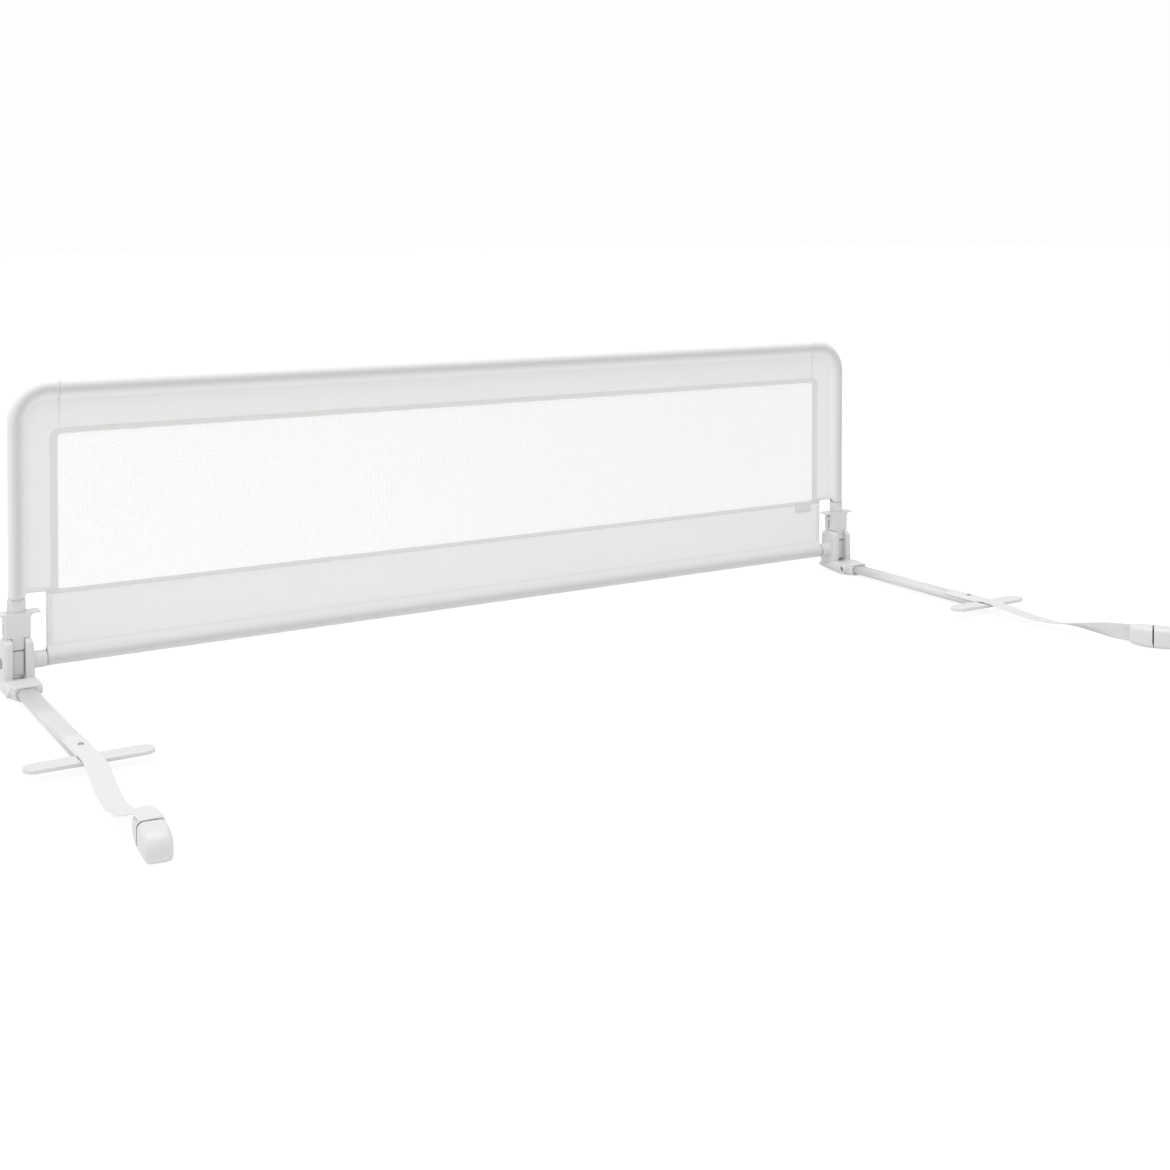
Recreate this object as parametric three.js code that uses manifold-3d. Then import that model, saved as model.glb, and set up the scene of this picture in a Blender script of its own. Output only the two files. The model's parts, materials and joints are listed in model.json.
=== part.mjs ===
// A folding bed guard rail: a tube frame in a cloth cover that stands on two hinges and folds down beside the bed.
// Two flat tubes reach from the hinges under the mattress, each with a cross foot, a webbing strap and an anchor.
// X runs along the rail, +Y points away from the bed, Z is up, in millimetres.
// The origin is on the floor, in the middle of the length and of the depth from cross feet to hinges.

import * as THREE from "three";
import { mergeVertices } from "three/addons/utils/BufferGeometryUtils.js";
import Module from "manifold-3d";

const wasm = await Module();
wasm.setup();

// Driving dimensions
const postSpacing = 1428.8;
const pivotHeight = 38; // floor to the fold axis
const railHeight = 365; // fold axis to the centre line of the top tube
const footReach = 370; // fold axis to the middle of the cross foot
const tubeRadius = 9.5;
const tubeWall = 1;
const bendRadius = 44; // centre line of the corner bend
const clearance = 0.3;
const overrun = 2; // every cutting body runs past what it cuts by this much

// Tube joints
const cornerLeg = 190; // the corner tube's level leg, from the post's centre line
const swageLength = 34;
const tubeSides = 18;
const boltSides = 10;
const bendSteps = 6;

// Hinge base and its cheeks
const cheekGap = 17;
const cheekThickness = 13;
const cheekRadius = 35; // the domed top is round about the fold axis
const cheekHalfDepth = 19.5;
const cheekEdge = 4;
const baseRear = 20;
const baseReach = 62; // fold axis to the front of the arm socket
const baseFlare = 3; // the base is this much wider than the cheeks, each side
const flareSlope = 1.4; // the flare's height for each millimetre of its width
const floorDrop = 20; // fold axis to the floor between the cheeks, at the front
const floorSlope = 5; // the floor falls this much more towards the rear
const pinRadius = 4;
const pinHeadRadius = 6.5;
const pinHeadHeight = 2.4;
const stubRadius = 11.5;
const stubLength = 16.4;
const stubChamfer = 1;

// Arm, its screw, and the cross foot
const armWidth = 26;
const armHeight = 13;
const armWall = 1.2;
const armDrop = 27.5; // fold axis to the arm's centre line
const armSeat = 38; // how far the arm goes into its socket
const socketWall = 2.5;
const screwRadius = 2;
const screwHeadRadius = 3.6;
const screwHeadHeight = 2.2;
const screwBossRadius = 7.5;
const footLength = 150;
const footWidth = 28;
const footThickness = 5;
const footEdge = 1.6;
const footPlugLength = 36;
const footHubLength = 4;
const footScrewBack = 40; // cross foot's middle back to the screw through strap, arm and plug

// Post foot
const tongueRadius = 17.4;
const tongueWidth = 15;
const tongueEdge = 1.5;
const stemDepth = 12;
const stemTop = 61;
const neckWidth = 24;
const neckDepth = 17;
const neckTop = 85;
const spigotLength = 32;
const pocketWidth = 9.2;
const pocketFloor = 19.2;
const pocketTop = 48;

// Slider
const sliderLift = 12;
const sliderWidth = 33;
const sliderDepth = 22;
const sliderEdge = 2;
const sliderTop = 67;
const shoulderHeight = 36.2; // just over the cheeks' domed tops
const wingHalfSpan = 30.4;
const wingThickness = 1.8;
const wingFillet = 6;
const lipWidth = 16;
const lipBottom = 19.3;
const lipInset = 0.5;
const guideTop = 46;
const bridgeHeight = 4.4;
const bridgeWidth = 8;
const slotWidth = 3.2;
const slotBottom = 38;
const rimWidth = 1.4;
const rimHeight = 0.6;
const slotPinRadius = 1.3;
const slotPinInset = 1;
const sliderScrewHeight = 59.4;
const sliderScrewRadius = 2;
const sliderScrewSink = 1;
const sliderScrewDepth = 3;

// Return spring
const springRadius = 3.1;
const springWire = 0.45; // radius of the wire
const springTurns = 7;
const springSteps = 8;
const springSides = 5;

// Cloth cover
const sleeveThickness = 0.6;
const clothThickness = 1.2;
const bindingWidth = 9.5;
const bindingThickness = 2.4;
const meshThickness = 0.6;
const postToWindow = 45.2; // post centre line to the outer edge of the window's binding
const topToWindow = 52;
const windowBottom = 81.5;
const windowCorner = 7; // inner radius of the binding's upper corners; its lower ones are mitred
const bindingCorner = 12; // their outer radius
const seamInset = 12; // the seam beside the window, from the binding's outer edge
const sideBandBottom = 90.5;
const panelEnd = 39.4; // post centre line to the end of the lower panel
const sleeveBottom = neckTop;
const cornerSteps = 4;

// Webbing straps and their anchors
const strapWidth = 26;
const strapThickness = 1.6;
const strapSteps = 46;
const anchorWidth = 33;
const anchorHeight = 36;
const anchorRear = 32;
const anchorFront = 38;
const anchorSlit = 4.6;
const anchorEdge = 7; // the corners' radius, seen along the strap
const coreWidth = 17;
const coreHeight = 16;
const coreSeat = 5;
const strapDip = 12; // how far the strap's end goes down into the slit

// Values that follow from the sizes above
const tubeBore = tubeRadius - tubeWall;
const cheekInner = cheekGap / 2;
const cheekOuter = cheekInner + cheekThickness;
const baseHalf = cheekOuter + baseFlare;
const armTop = armHeight / 2 - armDrop;
const footTop = armTop - 1.5 * armWall;
const footFront = footReach + footWidth / 2;
const footScrewReach = footReach - footScrewBack;
const railPlane = (footFront - baseRear) / 2;
const halfSpacing = postSpacing / 2;
const sleeveInner = tubeRadius + clearance;
const sleeveOuter = sleeveInner + sleeveThickness;
const windowTop = railHeight - topToWindow;
const windowHalf = halfSpacing - postToWindow;
const slotTop = slotBottom + sliderLift + 2 * slotPinRadius + clearance;
const slotPinHeight = slotTop - slotPinRadius - clearance / 2;

// Row colours of the real finishes
const whitePlastic = { color: 0xdcdcdb, roughness: 0.42, metalness: 0 };
const whitePaint = { color: 0xe8e8e7, roughness: 0.35, metalness: 0 };
const steel = { color: 0x8f9193, roughness: 0.3, metalness: 1 };
const cloth = { color: 0xe9e9e8, roughness: 0.9, metalness: 0 };
const tape = { color: 0xdededd, roughness: 0.85, metalness: 0 };
const net = { color: 0xf6f6f5, roughness: 0.9, metalness: 0 };
const webbingFinish = { color: 0xf0f0ef, roughness: 0.8, metalness: 0 };

// Closed surfaces and solids
const weldStep = 1e-4; // points nearer to each other than this are one

function solid(geometry) {
  const plain = geometry.clone();
  plain.deleteAttribute("normal");
  plain.deleteAttribute("uv");
  const merged = mergeVertices(plain, weldStep);
  const corners = merged.index.array;
  const faces = [];
  for (let i = 0; i < corners.length; i += 3) {
    const [a, b, c] = corners.subarray(i, i + 3);
    if (a !== b && b !== c && c !== a) faces.push(a, b, c);
  }
  return new wasm.Manifold(
    new wasm.Mesh({
      numProp: 3,
      vertProperties: merged.attributes.position.array,
      triVerts: new Uint32Array(faces),
    }),
  );
}

function geometryOf(body) {
  const mesh = body.getMesh();
  const geometry = new THREE.BufferGeometry();
  geometry.setAttribute("position", new THREE.BufferAttribute(mesh.vertProperties, 3));
  geometry.setIndex(new THREE.BufferAttribute(mesh.triVerts, 1));
  geometry.computeVertexNormals();
  return geometry;
}

function named(name, shape, finish) {
  const geometry = shape.isBufferGeometry ? shape : geometryOf(shape);
  const mesh = new THREE.Mesh(geometry, new THREE.MeshStandardMaterial(finish));
  mesh.name = name;
  return mesh;
}

function joined(first, ...others) {
  return others.reduce((body, other) => body.add(other), first);
}

function cutBy(first, ...others) {
  return others.reduce((body, other) => body.subtract(other), first);
}

// Flat outlines: a rectangle with round corners, where a radius of half the height gives a flat oval
function roundedRect(width, height, radius, x = 0, y = 0, steps = cornerSteps) {
  const points = [];
  const corners = [
    [1, -1, -Math.PI / 2],
    [1, 1, 0],
    [-1, 1, Math.PI / 2],
    [-1, -1, Math.PI],
  ];
  for (const [right, up, start] of corners) {
    for (let i = 0; i <= steps; i++) {
      const angle = start + (Math.PI / 2) * (i / steps);
      const point = new THREE.Vector2(
        x + right * (width / 2 - radius) + radius * Math.cos(angle),
        y + up * (height / 2 - radius) + radius * Math.sin(angle),
      );
      if (!points.some((other) => other.distanceTo(point) < weldStep)) points.push(point);
    }
  }
  return new THREE.Shape(points);
}

function circle(radius, x = 0, y = 0) {
  const shape = new THREE.Shape();
  shape.absarc(x, y, radius, 0, 2 * Math.PI);
  return shape;
}

function polygon(points) {
  return new THREE.Shape(points.map(([x, y]) => new THREE.Vector2(x, y)));
}

// A flat outline pushed from low to high along one axis, with its edges rounded by the given amount
function extruded(shape, low, high, edge = 0, curveSegments = cornerSteps) {
  const geometry = new THREE.ExtrudeGeometry(shape, {
    depth: high - low - 2 * edge,
    bevelEnabled: edge > 0,
    bevelThickness: edge,
    bevelSize: edge,
    bevelOffset: -edge,
    bevelSegments: 2,
    curveSegments,
  });
  return geometry.translate(0, 0, low + edge);
}

// The outline's axes and its push become Y, Z, X or X, Z, -Y
const sideways = new THREE.Matrix4().set(0, 0, 1, 0, 1, 0, 0, 0, 0, 1, 0, 0, 0, 0, 0, 1);
const frontways = new THREE.Matrix4().set(1, 0, 0, 0, 0, 0, -1, 0, 0, 1, 0, 0, 0, 0, 0, 1);

function alongX(shape, low, high, edge, segments) {
  return extruded(shape, low, high, edge, segments).applyMatrix4(sideways);
}

function alongY(shape, low, high, edge, segments) {
  return extruded(shape, -high, -low, edge, segments).applyMatrix4(frontways);
}

function box(x0, x1, y0, y1, z0, z1) {
  const geometry = new THREE.BoxGeometry(x1 - x0, y1 - y0, z1 - z0);
  return geometry.translate((x0 + x1) / 2, (y0 + y1) / 2, (z0 + z1) / 2);
}

function rodX(radius, low, high, y = 0, z = 0, sides = tubeSides) {
  const geometry = new THREE.CylinderGeometry(radius, radius, high - low, sides);
  return geometry.rotateZ(Math.PI / 2).translate((low + high) / 2, y, z);
}

function rodZ(radius, low, high, x = 0, y = 0, sides = tubeSides) {
  const geometry = new THREE.CylinderGeometry(radius, radius, high - low, sides);
  return geometry.rotateX(Math.PI / 2).translate(x, y, (low + high) / 2);
}

// A turned body about X: its profile is a list of [radius, x] from one end to the other
function turnedX(profile, y = 0, z = 0, sides = tubeSides) {
  const points = profile.map(([radius, x]) => new THREE.Vector2(radius, x));
  return new THREE.LatheGeometry(points, sides).rotateZ(-Math.PI / 2).translate(0, y, z);
}

function turnedZ(profile, x = 0, y = 0, sides = tubeSides) {
  const points = profile.map(([radius, z]) => new THREE.Vector2(radius, z));
  return new THREE.LatheGeometry(points, sides).rotateX(Math.PI / 2).translate(x, y, 0);
}

// A skin through rings of points that run the same way round; the rings of a bore make it a tube
function loft(rings, bore) {
  const count = rings[0].length;
  const positions = [];
  const faces = [];
  const all = bore ? [...rings, ...bore] : rings;
  all.forEach((ring) => ring.forEach((p) => positions.push(p.x, p.y, p.z)));
  const at = (ring, j) => ring * count + (j % count);
  const quad = (a, b, c, d) => faces.push(a, b, c, a, c, d);
  const last = rings.length - 1;
  for (let i = 0; i < last; i++) {
    for (let j = 0; j < count; j++) {
      quad(at(i, j), at(i, j + 1), at(i + 1, j + 1), at(i + 1, j));
      if (bore) {
        const k = rings.length + i;
        quad(at(k, j), at(k + 1, j), at(k + 1, j + 1), at(k, j + 1));
      }
    }
  }
  for (let j = 0; j < count; j++) {
    if (bore) {
      quad(at(0, j), at(rings.length, j), at(rings.length, j + 1), at(0, j + 1));
      const end = rings.length + last;
      quad(at(last, j), at(last, j + 1), at(end, j + 1), at(end, j));
    } else if (j > 0 && j < count - 1) {
      faces.push(at(0, 0), at(0, j + 1), at(0, j));
      faces.push(at(last, 0), at(last, j), at(last, j + 1));
    }
  }
  const geometry = new THREE.BufferGeometry();
  geometry.setAttribute("position", new THREE.Float32BufferAttribute(positions, 3));
  geometry.setIndex(faces);
  return geometry;
}

// A ring of points round a centre: u and v span its plane, and u x v points along the path
function ring(centre, u, v, outline) {
  return outline.map(([a, b]) => centre.clone().addScaledVector(u, a).addScaledVector(v, b));
}

function roundOutline(radius, sides) {
  return Array.from({ length: sides }, (_, j) => {
    const angle = (2 * Math.PI * j) / sides;
    return [radius * Math.cos(angle), radius * Math.sin(angle)];
  });
}

// Round tube in the rail's plane: stations hold x, z, the path's direction, and the radii of skin and bore
function frameTube(stations, sides = tubeSides) {
  const v = new THREE.Vector3(0, 1, 0);
  const ringsOf = (key) =>
    stations.map((s) => {
      const along = new THREE.Vector3(Math.cos(s.turn), 0, Math.sin(s.turn));
      const u = new THREE.Vector3().crossVectors(v, along);
      return ring(new THREE.Vector3(s.x, 0, s.z), u, v, roundOutline(s[key], sides));
    });
  return loft(ringsOf("outer"), stations[0].inner ? ringsOf("inner") : undefined);
}

// The corner's path from the post foot up, round the bend and along the top towards the middle
function cornerPath(bottom, end, outer, inner) {
  const stations = [{ x: 0, z: bottom, turn: Math.PI / 2, outer, inner }];
  for (let i = 0; i <= bendSteps; i++) {
    const angle = (Math.PI / 2) * (i / bendSteps);
    stations.push({
      x: bendRadius * (Math.cos(angle) - 1),
      z: railHeight - bendRadius + bendRadius * Math.sin(angle),
      turn: Math.PI / 2 + angle,
      outer,
      inner,
    });
  }
  stations.push({ x: -end, z: railHeight, turn: Math.PI, outer, inner });
  return stations;
}

// The reduced end of a tube, which slides into the next one
function swaged(stations, dx) {
  const end = stations[stations.length - 1];
  const outer = tubeBore - clearance;
  const neck = { ...end, outer, inner: outer - tubeWall };
  const shoulder = { ...end, x: end.x - Math.sign(dx) * tubeWall };
  return [...stations.slice(0, -1), shoulder, neck, { ...neck, x: end.x + dx }];
}

function cornerTube() {
  const path = cornerPath(neckTop + clearance, cornerLeg, tubeRadius, tubeBore);
  return frameTube(swaged(path, -swageLength));
}

function straightTube(from, to, z, swage = 0) {
  const turn = to > from ? 0 : Math.PI;
  const station = { z, turn, outer: tubeRadius, inner: tubeBore };
  const path = [
    { ...station, x: from },
    { ...station, x: to },
  ];
  return frameTube(swage ? swaged(path, swage) : path);
}

// Hinge base: a moulded block with two cheeks, the arm's socket in front and the bottom tube's stub inside.
// The block's lower corners, as how far in and how far up each point lies, in wall thicknesses
const lowerCorner = [
  [2.6, 0],
  [0.9, 1.4],
  [0, 3.4],
];

function hingeBlock() {
  const roof = armTop + clearance + socketWall;
  const bottom = -pivotHeight;
  const socketBottom = armTop - armHeight - clearance - socketWall;
  const socketHalf = armWidth / 2 + clearance + socketWall;
  const cheekFront = -cheekHalfDepth - clearance;
  const rearFloor = -floorDrop - floorSlope;
  const rearLip = rearFloor - floorSlope;
  const underside = (share) => rearLip + (bottom - rearLip) * share;
  const stations = [
    { y: baseRear, half: baseHalf - baseFlare, top: rearFloor, low: underside(0) },
    { y: baseRear - baseFlare, half: baseHalf, top: rearFloor, low: underside(0.15) },
    { y: baseRear - 3 * baseFlare, half: baseHalf, top: -floorDrop - floorSlope / 2, low: underside(0.28) },
    { y: -baseFlare, half: baseHalf, top: -floorDrop - floorSlope / 4, low: underside(0.6) },
    { y: cheekFront, half: baseHalf, top: -floorDrop, low: underside(0.85) },
    { y: cheekFront - socketWall, half: baseHalf, top: roof, low: underside(0.9) },
    { y: -(baseReach + armSeat) / 3, half: baseHalf - socketWall / 2, top: roof, low: bottom },
    { y: -(baseReach + armSeat) / 2, half: baseHalf - 2.5 * socketWall, top: roof, low: bottom },
    { y: -baseReach, half: socketHalf, top: roof, low: socketBottom },
  ];
  const v = new THREE.Vector3(0, 0, 1);
  const u = new THREE.Vector3(-1, 0, 0);
  const rings = stations.map(({ y, half, top, low }) => {
    const shoulder = Math.min(half, cheekOuter);
    const flare = (half - shoulder) * flareSlope + socketWall;
    const cornerHeight = lowerCorner[2][1] * socketWall;
    const edge = socketWall * Math.min(1, (top - low) / (cornerHeight + flare + clearance));
    const waist = (flare * edge) / socketWall;
    const side = [
      ...lowerCorner.map(([inwards, up]) => [half - inwards * edge, low + up * edge]),
      [half, top - waist],
      [shoulder, top - edge / 3],
      [shoulder - edge / 2, top],
    ];
    const mirrored = side.map(([a, b]) => [-a, b]).reverse();
    return ring(new THREE.Vector3(0, y, 0), u, v, [...side, ...mirrored]);
  });
  return loft(rings.reverse());
}

function cheekOutline() {
  const spring = Math.asin(cheekHalfDepth / cheekRadius);
  const foot = -floorDrop - floorSlope - cheekEdge;
  const shape = new THREE.Shape();
  shape.moveTo(cheekHalfDepth, foot);
  shape.absarc(0, 0, cheekRadius, Math.PI / 2 - spring, Math.PI / 2 + spring);
  shape.lineTo(-cheekHalfDepth, foot);
  return shape;
}

function hingeBase() {
  const cheeks = [
    [-cheekOuter, -cheekInner],
    [cheekInner, cheekOuter],
  ].map(([low, high]) => solid(alongX(cheekOutline(), low, high, cheekEdge)));
  const stubEnd = -cheekOuter - stubLength;
  const stub = turnedX([
    [0, stubEnd],
    [stubRadius - stubChamfer, stubEnd],
    [stubRadius, stubEnd + stubChamfer],
    [stubRadius, -cheekOuter + overrun],
    [0, -cheekOuter + overrun],
  ]);
  const bossHalf = baseHalf - baseFlare / 2;
  const boss = turnedX(
    [
      [0, -bossHalf],
      [screwBossRadius - stubChamfer, -bossHalf],
      [screwBossRadius, stubChamfer - bossHalf],
      [screwBossRadius, bossHalf - stubChamfer],
      [screwBossRadius - stubChamfer, bossHalf],
      [0, bossHalf],
    ],
    -(baseReach + armSeat) / 2 + screwBossRadius,
    -armDrop - clearance,
  );
  const body = joined(solid(hingeBlock()), ...cheeks, solid(stub), solid(boss));
  const armBore = roundedRect(
    armWidth + 2 * clearance,
    armHeight + 2 * clearance,
    armHeight / 2 + clearance,
    0,
    -armDrop,
  );
  const pinEnd = -cheekInner - cheekThickness / 2;
  return cutBy(
    body,
    solid(alongY(armBore, -baseReach - overrun, armSeat - baseReach, 0)),
    solid(rodX(tubeRadius + clearance, stubEnd - overrun, clearance - cheekOuter)),
    solid(rodX(pinRadius + clearance, pinEnd, cheekOuter + overrun)),
    solid(rodX(pinHeadRadius + clearance, cheekOuter - pinHeadHeight - clearance, cheekOuter + overrun)),
    solid(armScrewBore()),
  );
}

// The pivot pin's head is sunk in the outer cheek, and its tip ends blind in the inner one
function pivotPin() {
  const tip = clearance - cheekInner - cheekThickness / 2;
  const shoulder = cheekOuter - pinHeadHeight;
  return turnedX([
    [0, tip],
    [pinRadius, tip],
    [pinRadius, shoulder],
    [pinHeadRadius, shoulder],
    [pinHeadRadius, cheekOuter - stubChamfer / 2],
    [pinHeadRadius - stubChamfer, cheekOuter],
    [0, cheekOuter],
  ]);
}

// One screw runs across the socket and through the arm, from a sunk head on the inner side
const armScrewY = -(baseReach + armSeat) / 2 + screwBossRadius;
const armScrewZ = -armDrop - clearance;
const armScrewFace = baseFlare / 2 - baseHalf;
const armScrewSink = armScrewFace + screwHeadHeight / 2;
const armScrewTip = armWidth / 2 + 2 * socketWall;

function armScrewBore() {
  const head = armScrewSink + screwHeadHeight + clearance;
  return turnedX(
    [
      [0, armScrewFace - overrun],
      [screwHeadRadius + clearance, armScrewFace - overrun],
      [screwHeadRadius + clearance, head],
      [screwRadius + clearance, head],
      [screwRadius + clearance, armScrewTip + clearance],
      [0, armScrewTip + clearance],
    ],
    armScrewY,
    armScrewZ,
    boltSides,
  );
}

function armScrew() {
  return turnedX(
    [
      [0, armScrewSink],
      [screwHeadRadius - stubChamfer, armScrewSink],
      [screwHeadRadius, armScrewSink + stubChamfer],
      [screwHeadRadius, armScrewSink + screwHeadHeight],
      [screwRadius, armScrewSink + screwHeadHeight],
      [screwRadius, armScrewTip],
      [0, armScrewTip],
    ],
    armScrewY,
    armScrewZ,
    boltSides,
  );
}

// Arm: a flat oval steel tube from its socket to the cross foot
const armFront = footReach - footWidth / 2 - footHubLength;
const footScrewTop = armTop + 2 * clearance + strapThickness;

function armTube() {
  const outline = roundedRect(armWidth, armHeight, armHeight / 2, 0, -armDrop);
  const bore = roundedRect(
    armWidth - 2 * armWall,
    armHeight - 2 * armWall,
    armHeight / 2 - armWall,
    0,
    -armDrop,
  );
  outline.holes.push(bore);
  const tube = alongY(outline, -armFront, armSeat - baseReach - clearance, 0);
  const half = armWidth / 2 + overrun;
  return cutBy(
    solid(tube),
    solid(rodX(screwRadius + clearance, -half, half, armScrewY, armScrewZ, boltSides)),
    solid(rodZ(screwRadius + clearance, -armDrop, armTop + overrun, 0, -footScrewReach, boltSides)),
  );
}

// Cross foot: a long plate with round ends, a hub against the arm's end and a plug inside the arm
function crossFoot() {
  const plate = extruded(
    roundedRect(footLength, footWidth, footWidth / 2, 0, -footReach),
    footTop - footThickness,
    footTop,
    footEdge,
    2 * cornerSteps,
  );
  const hub = alongY(
    roundedRect(armWidth, armHeight, armHeight / 2, 0, -armDrop),
    -footReach + footHubLength,
    -armFront - clearance,
    0,
  );
  const slack = 2 * (armWall + clearance);
  const plugOutline = roundedRect(
    armWidth - slack,
    armHeight - slack,
    (armHeight - slack) / 2,
    0,
    -armDrop,
  );
  const plug = alongY(plugOutline, -armFront - overrun, footPlugLength - armFront, 0);
  const slope = polygon([
    [-footReach + footHubLength - overrun, armTop - armHeight - overrun],
    [-footReach + 2 * footHubLength + overrun, armTop - armHeight - overrun],
    [-footReach + footHubLength - overrun, footTop - footThickness],
  ]);
  return cutBy(
    joined(solid(plate), solid(hub), solid(plug)),
    solid(alongX(slope, -armWidth, armWidth, 0)),
    solid(box(-armWidth, armWidth, -footReach - overrun, -footReach + 2 * footHubLength, footTop, armTop + overrun)),
    solid(footScrewBore(footScrewTip() - clearance)),
  );
}

function footScrewBore(low) {
  return rodZ(screwRadius + clearance, low, footScrewTop + overrun, 0, -footScrewReach, boltSides);
}

function footScrewTip() {
  return -armDrop - armHeight / 4;
}

function footScrew() {
  return turnedZ(
    [
      [0, footScrewTip()],
      [screwRadius, footScrewTip()],
      [screwRadius, footScrewTop],
      [screwHeadRadius, footScrewTop],
      [screwHeadRadius, footScrewTop + screwHeadHeight / 2],
      [screwHeadRadius - stubChamfer, footScrewTop + screwHeadHeight],
      [0, footScrewTop + screwHeadHeight],
    ],
    0,
    -footScrewReach,
    boltSides,
  );
}

// Post foot: a round tongue on the fold axis, a stem with the spring's pocket, a neck and a spigot in the post
function postFoot() {
  const tongue = alongX(circle(tongueRadius), -tongueWidth / 2, tongueWidth / 2, tongueEdge, 2 * cornerSteps);
  const stem = box(-tongueWidth / 2, tongueWidth / 2, -stemDepth / 2, stemDepth / 2, tongueRadius / 2, stemTop);
  const neck = extruded(
    roundedRect(neckWidth, neckDepth, neckDepth / 2),
    stemTop - clearance,
    neckTop,
    stubChamfer,
  );
  const spigot = rodZ(tubeBore - clearance, neckTop - overrun, neckTop + spigotLength);
  const half = tongueWidth / 2 + overrun;
  const pocket = box(
    -pocketWidth / 2,
    pocketWidth / 2,
    -tongueRadius,
    tongueRadius,
    pocketFloor,
    pocketTop,
  );
  return cutBy(
    joined(solid(tongue), solid(stem), solid(neck), solid(spigot)),
    solid(pocket),
    solid(rodX(pinRadius + clearance, -half, half)),
    solid(rodX(slotPinRadius + clearance, -half, half, 0, slotPinHeight, boltSides)),
  );
}

function slotPin() {
  const half = sliderWidth / 2 - slotPinInset;
  return rodX(slotPinRadius, -half, half, 0, slotPinHeight, boltSides);
}

// Slider: a sleeve round the stem with two pull wings, lips between the cheeks and a bridge under the spring
function sliderOutline() {
  const half = sliderWidth / 2;
  const wingBottom = sliderTop - wingThickness;
  const lip = lipWidth / 2;
  const shape = new THREE.Shape();
  shape.moveTo(-wingHalfSpan, sliderTop);
  shape.lineTo(-wingHalfSpan, wingBottom);
  shape.lineTo(-half - wingFillet, wingBottom);
  shape.absarc(-half - wingFillet, wingBottom - wingFillet, wingFillet, Math.PI / 2, 0, true);
  shape.lineTo(-half, shoulderHeight + wingFillet / 2);
  shape.lineTo(-half + wingFillet / 4, shoulderHeight);
  shape.lineTo(-lip, shoulderHeight);
  shape.lineTo(-lip, lipBottom);
  shape.lineTo(lip, lipBottom);
  shape.lineTo(lip, shoulderHeight);
  shape.lineTo(half - wingFillet / 4, shoulderHeight);
  shape.lineTo(half, shoulderHeight + wingFillet / 2);
  shape.absarc(half + wingFillet, wingBottom - wingFillet, wingFillet, Math.PI, Math.PI / 2, true);
  shape.lineTo(wingHalfSpan, wingBottom);
  shape.lineTo(wingHalfSpan, sliderTop);
  return shape;
}

function slotOutline(grow) {
  const height = slotTop - slotBottom + 2 * grow;
  const width = slotWidth + 2 * grow;
  return roundedRect(width, height, width / 2, 0, (slotTop + slotBottom) / 2);
}

function slider() {
  const half = sliderWidth / 2;
  const depth = sliderDepth / 2;
  const body = alongY(sliderOutline(), -depth, depth, 0, cornerSteps);
  const plan = extruded(
    roundedRect(2 * wingHalfSpan, sliderDepth, 2 * sliderEdge),
    lipBottom - overrun,
    sliderTop + overrun,
  );
  const slack = 2 * clearance;
  const mouth = extruded(
    roundedRect(neckWidth + slack, neckDepth + slack, neckDepth / 2 + clearance),
    guideTop,
    sliderTop + overrun,
  );
  const guideHalf = tongueWidth / 2 + clearance;
  const guideDepth = stemDepth / 2 + clearance;
  const guide = box(-guideHalf, guideHalf, -guideDepth, guideDepth, shoulderHeight - overrun, guideTop + overrun);
  const mouthBelow = box(-half, half, -guideDepth, guideDepth, lipBottom - overrun, shoulderHeight);
  const bridge = box(
    -bridgeWidth / 2,
    bridgeWidth / 2,
    -guideDepth - lipInset,
    guideDepth + lipInset,
    lipBottom + lipInset,
    lipBottom + lipInset + bridgeHeight,
  );
  const face = -half - rimHeight;
  const slot = slotOutline(0);
  const rim = alongX(slotOutline(rimWidth), face, -half + rimHeight, 0);
  const screwRing = rodX(sliderScrewRadius + rimWidth, face, -half + rimHeight, 0, sliderScrewHeight);
  const shell = cutBy(
    joined(solid(body).intersect(solid(plan)), solid(rim), solid(screwRing)),
    solid(mouth),
    solid(guide),
    solid(mouthBelow),
    solid(alongX(slot, -half - overrun, half + overrun, 0)),
    solid(
      rodX(
        sliderScrewRadius + clearance,
        face - overrun,
        face + sliderScrewSink + sliderScrewDepth,
        0,
        sliderScrewHeight,
      ),
    ),
  );
  return joined(shell, solid(bridge));
}

function sliderScrew() {
  const face = -sliderWidth / 2 - rimHeight + sliderScrewSink;
  return turnedX(
    [
      [0, face],
      [sliderScrewRadius - rimHeight, face],
      [sliderScrewRadius, face + rimHeight],
      [sliderScrewRadius, face + sliderScrewDepth - clearance],
      [0, face + sliderScrewDepth - clearance],
    ],
    0,
    sliderScrewHeight,
    boltSides,
  );
}

// Return spring: one helix of wire from the slider's bridge to the top of the stem's pocket
function returnSpring() {
  const low = lipBottom + lipInset + bridgeHeight + clearance + springWire;
  const high = pocketTop - clearance - springWire;
  const count = springTurns * springSteps;
  const rise = (high - low) / count;
  const centres = [];
  for (let i = 0; i <= count; i++) {
    const angle = (2 * Math.PI * i) / springSteps;
    centres.push(
      new THREE.Vector3(springRadius * Math.cos(angle), springRadius * Math.sin(angle), low + rise * i),
    );
  }
  const rings = centres.map((centre, i) => {
    const before = centres[Math.max(i - 1, 0)];
    const after = centres[Math.min(i + 1, count)];
    const along = after.clone().sub(before).normalize();
    const u = new THREE.Vector3(centre.x, centre.y, 0).normalize();
    u.addScaledVector(along, -u.dot(along)).normalize();
    const v = new THREE.Vector3().crossVectors(along, u);
    return ring(centre, u, v, roundOutline(springWire, springSides));
  });
  return { geometry: loft(rings), centres };
}

function leastGap(centres) {
  let least = Infinity;
  centres.forEach((a, i) => {
    for (let j = i + springSteps / 2; j < centres.length; j++) {
      least = Math.min(least, a.distanceTo(centres[j]) - 2 * springWire);
    }
  });
  return least;
}

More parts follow.
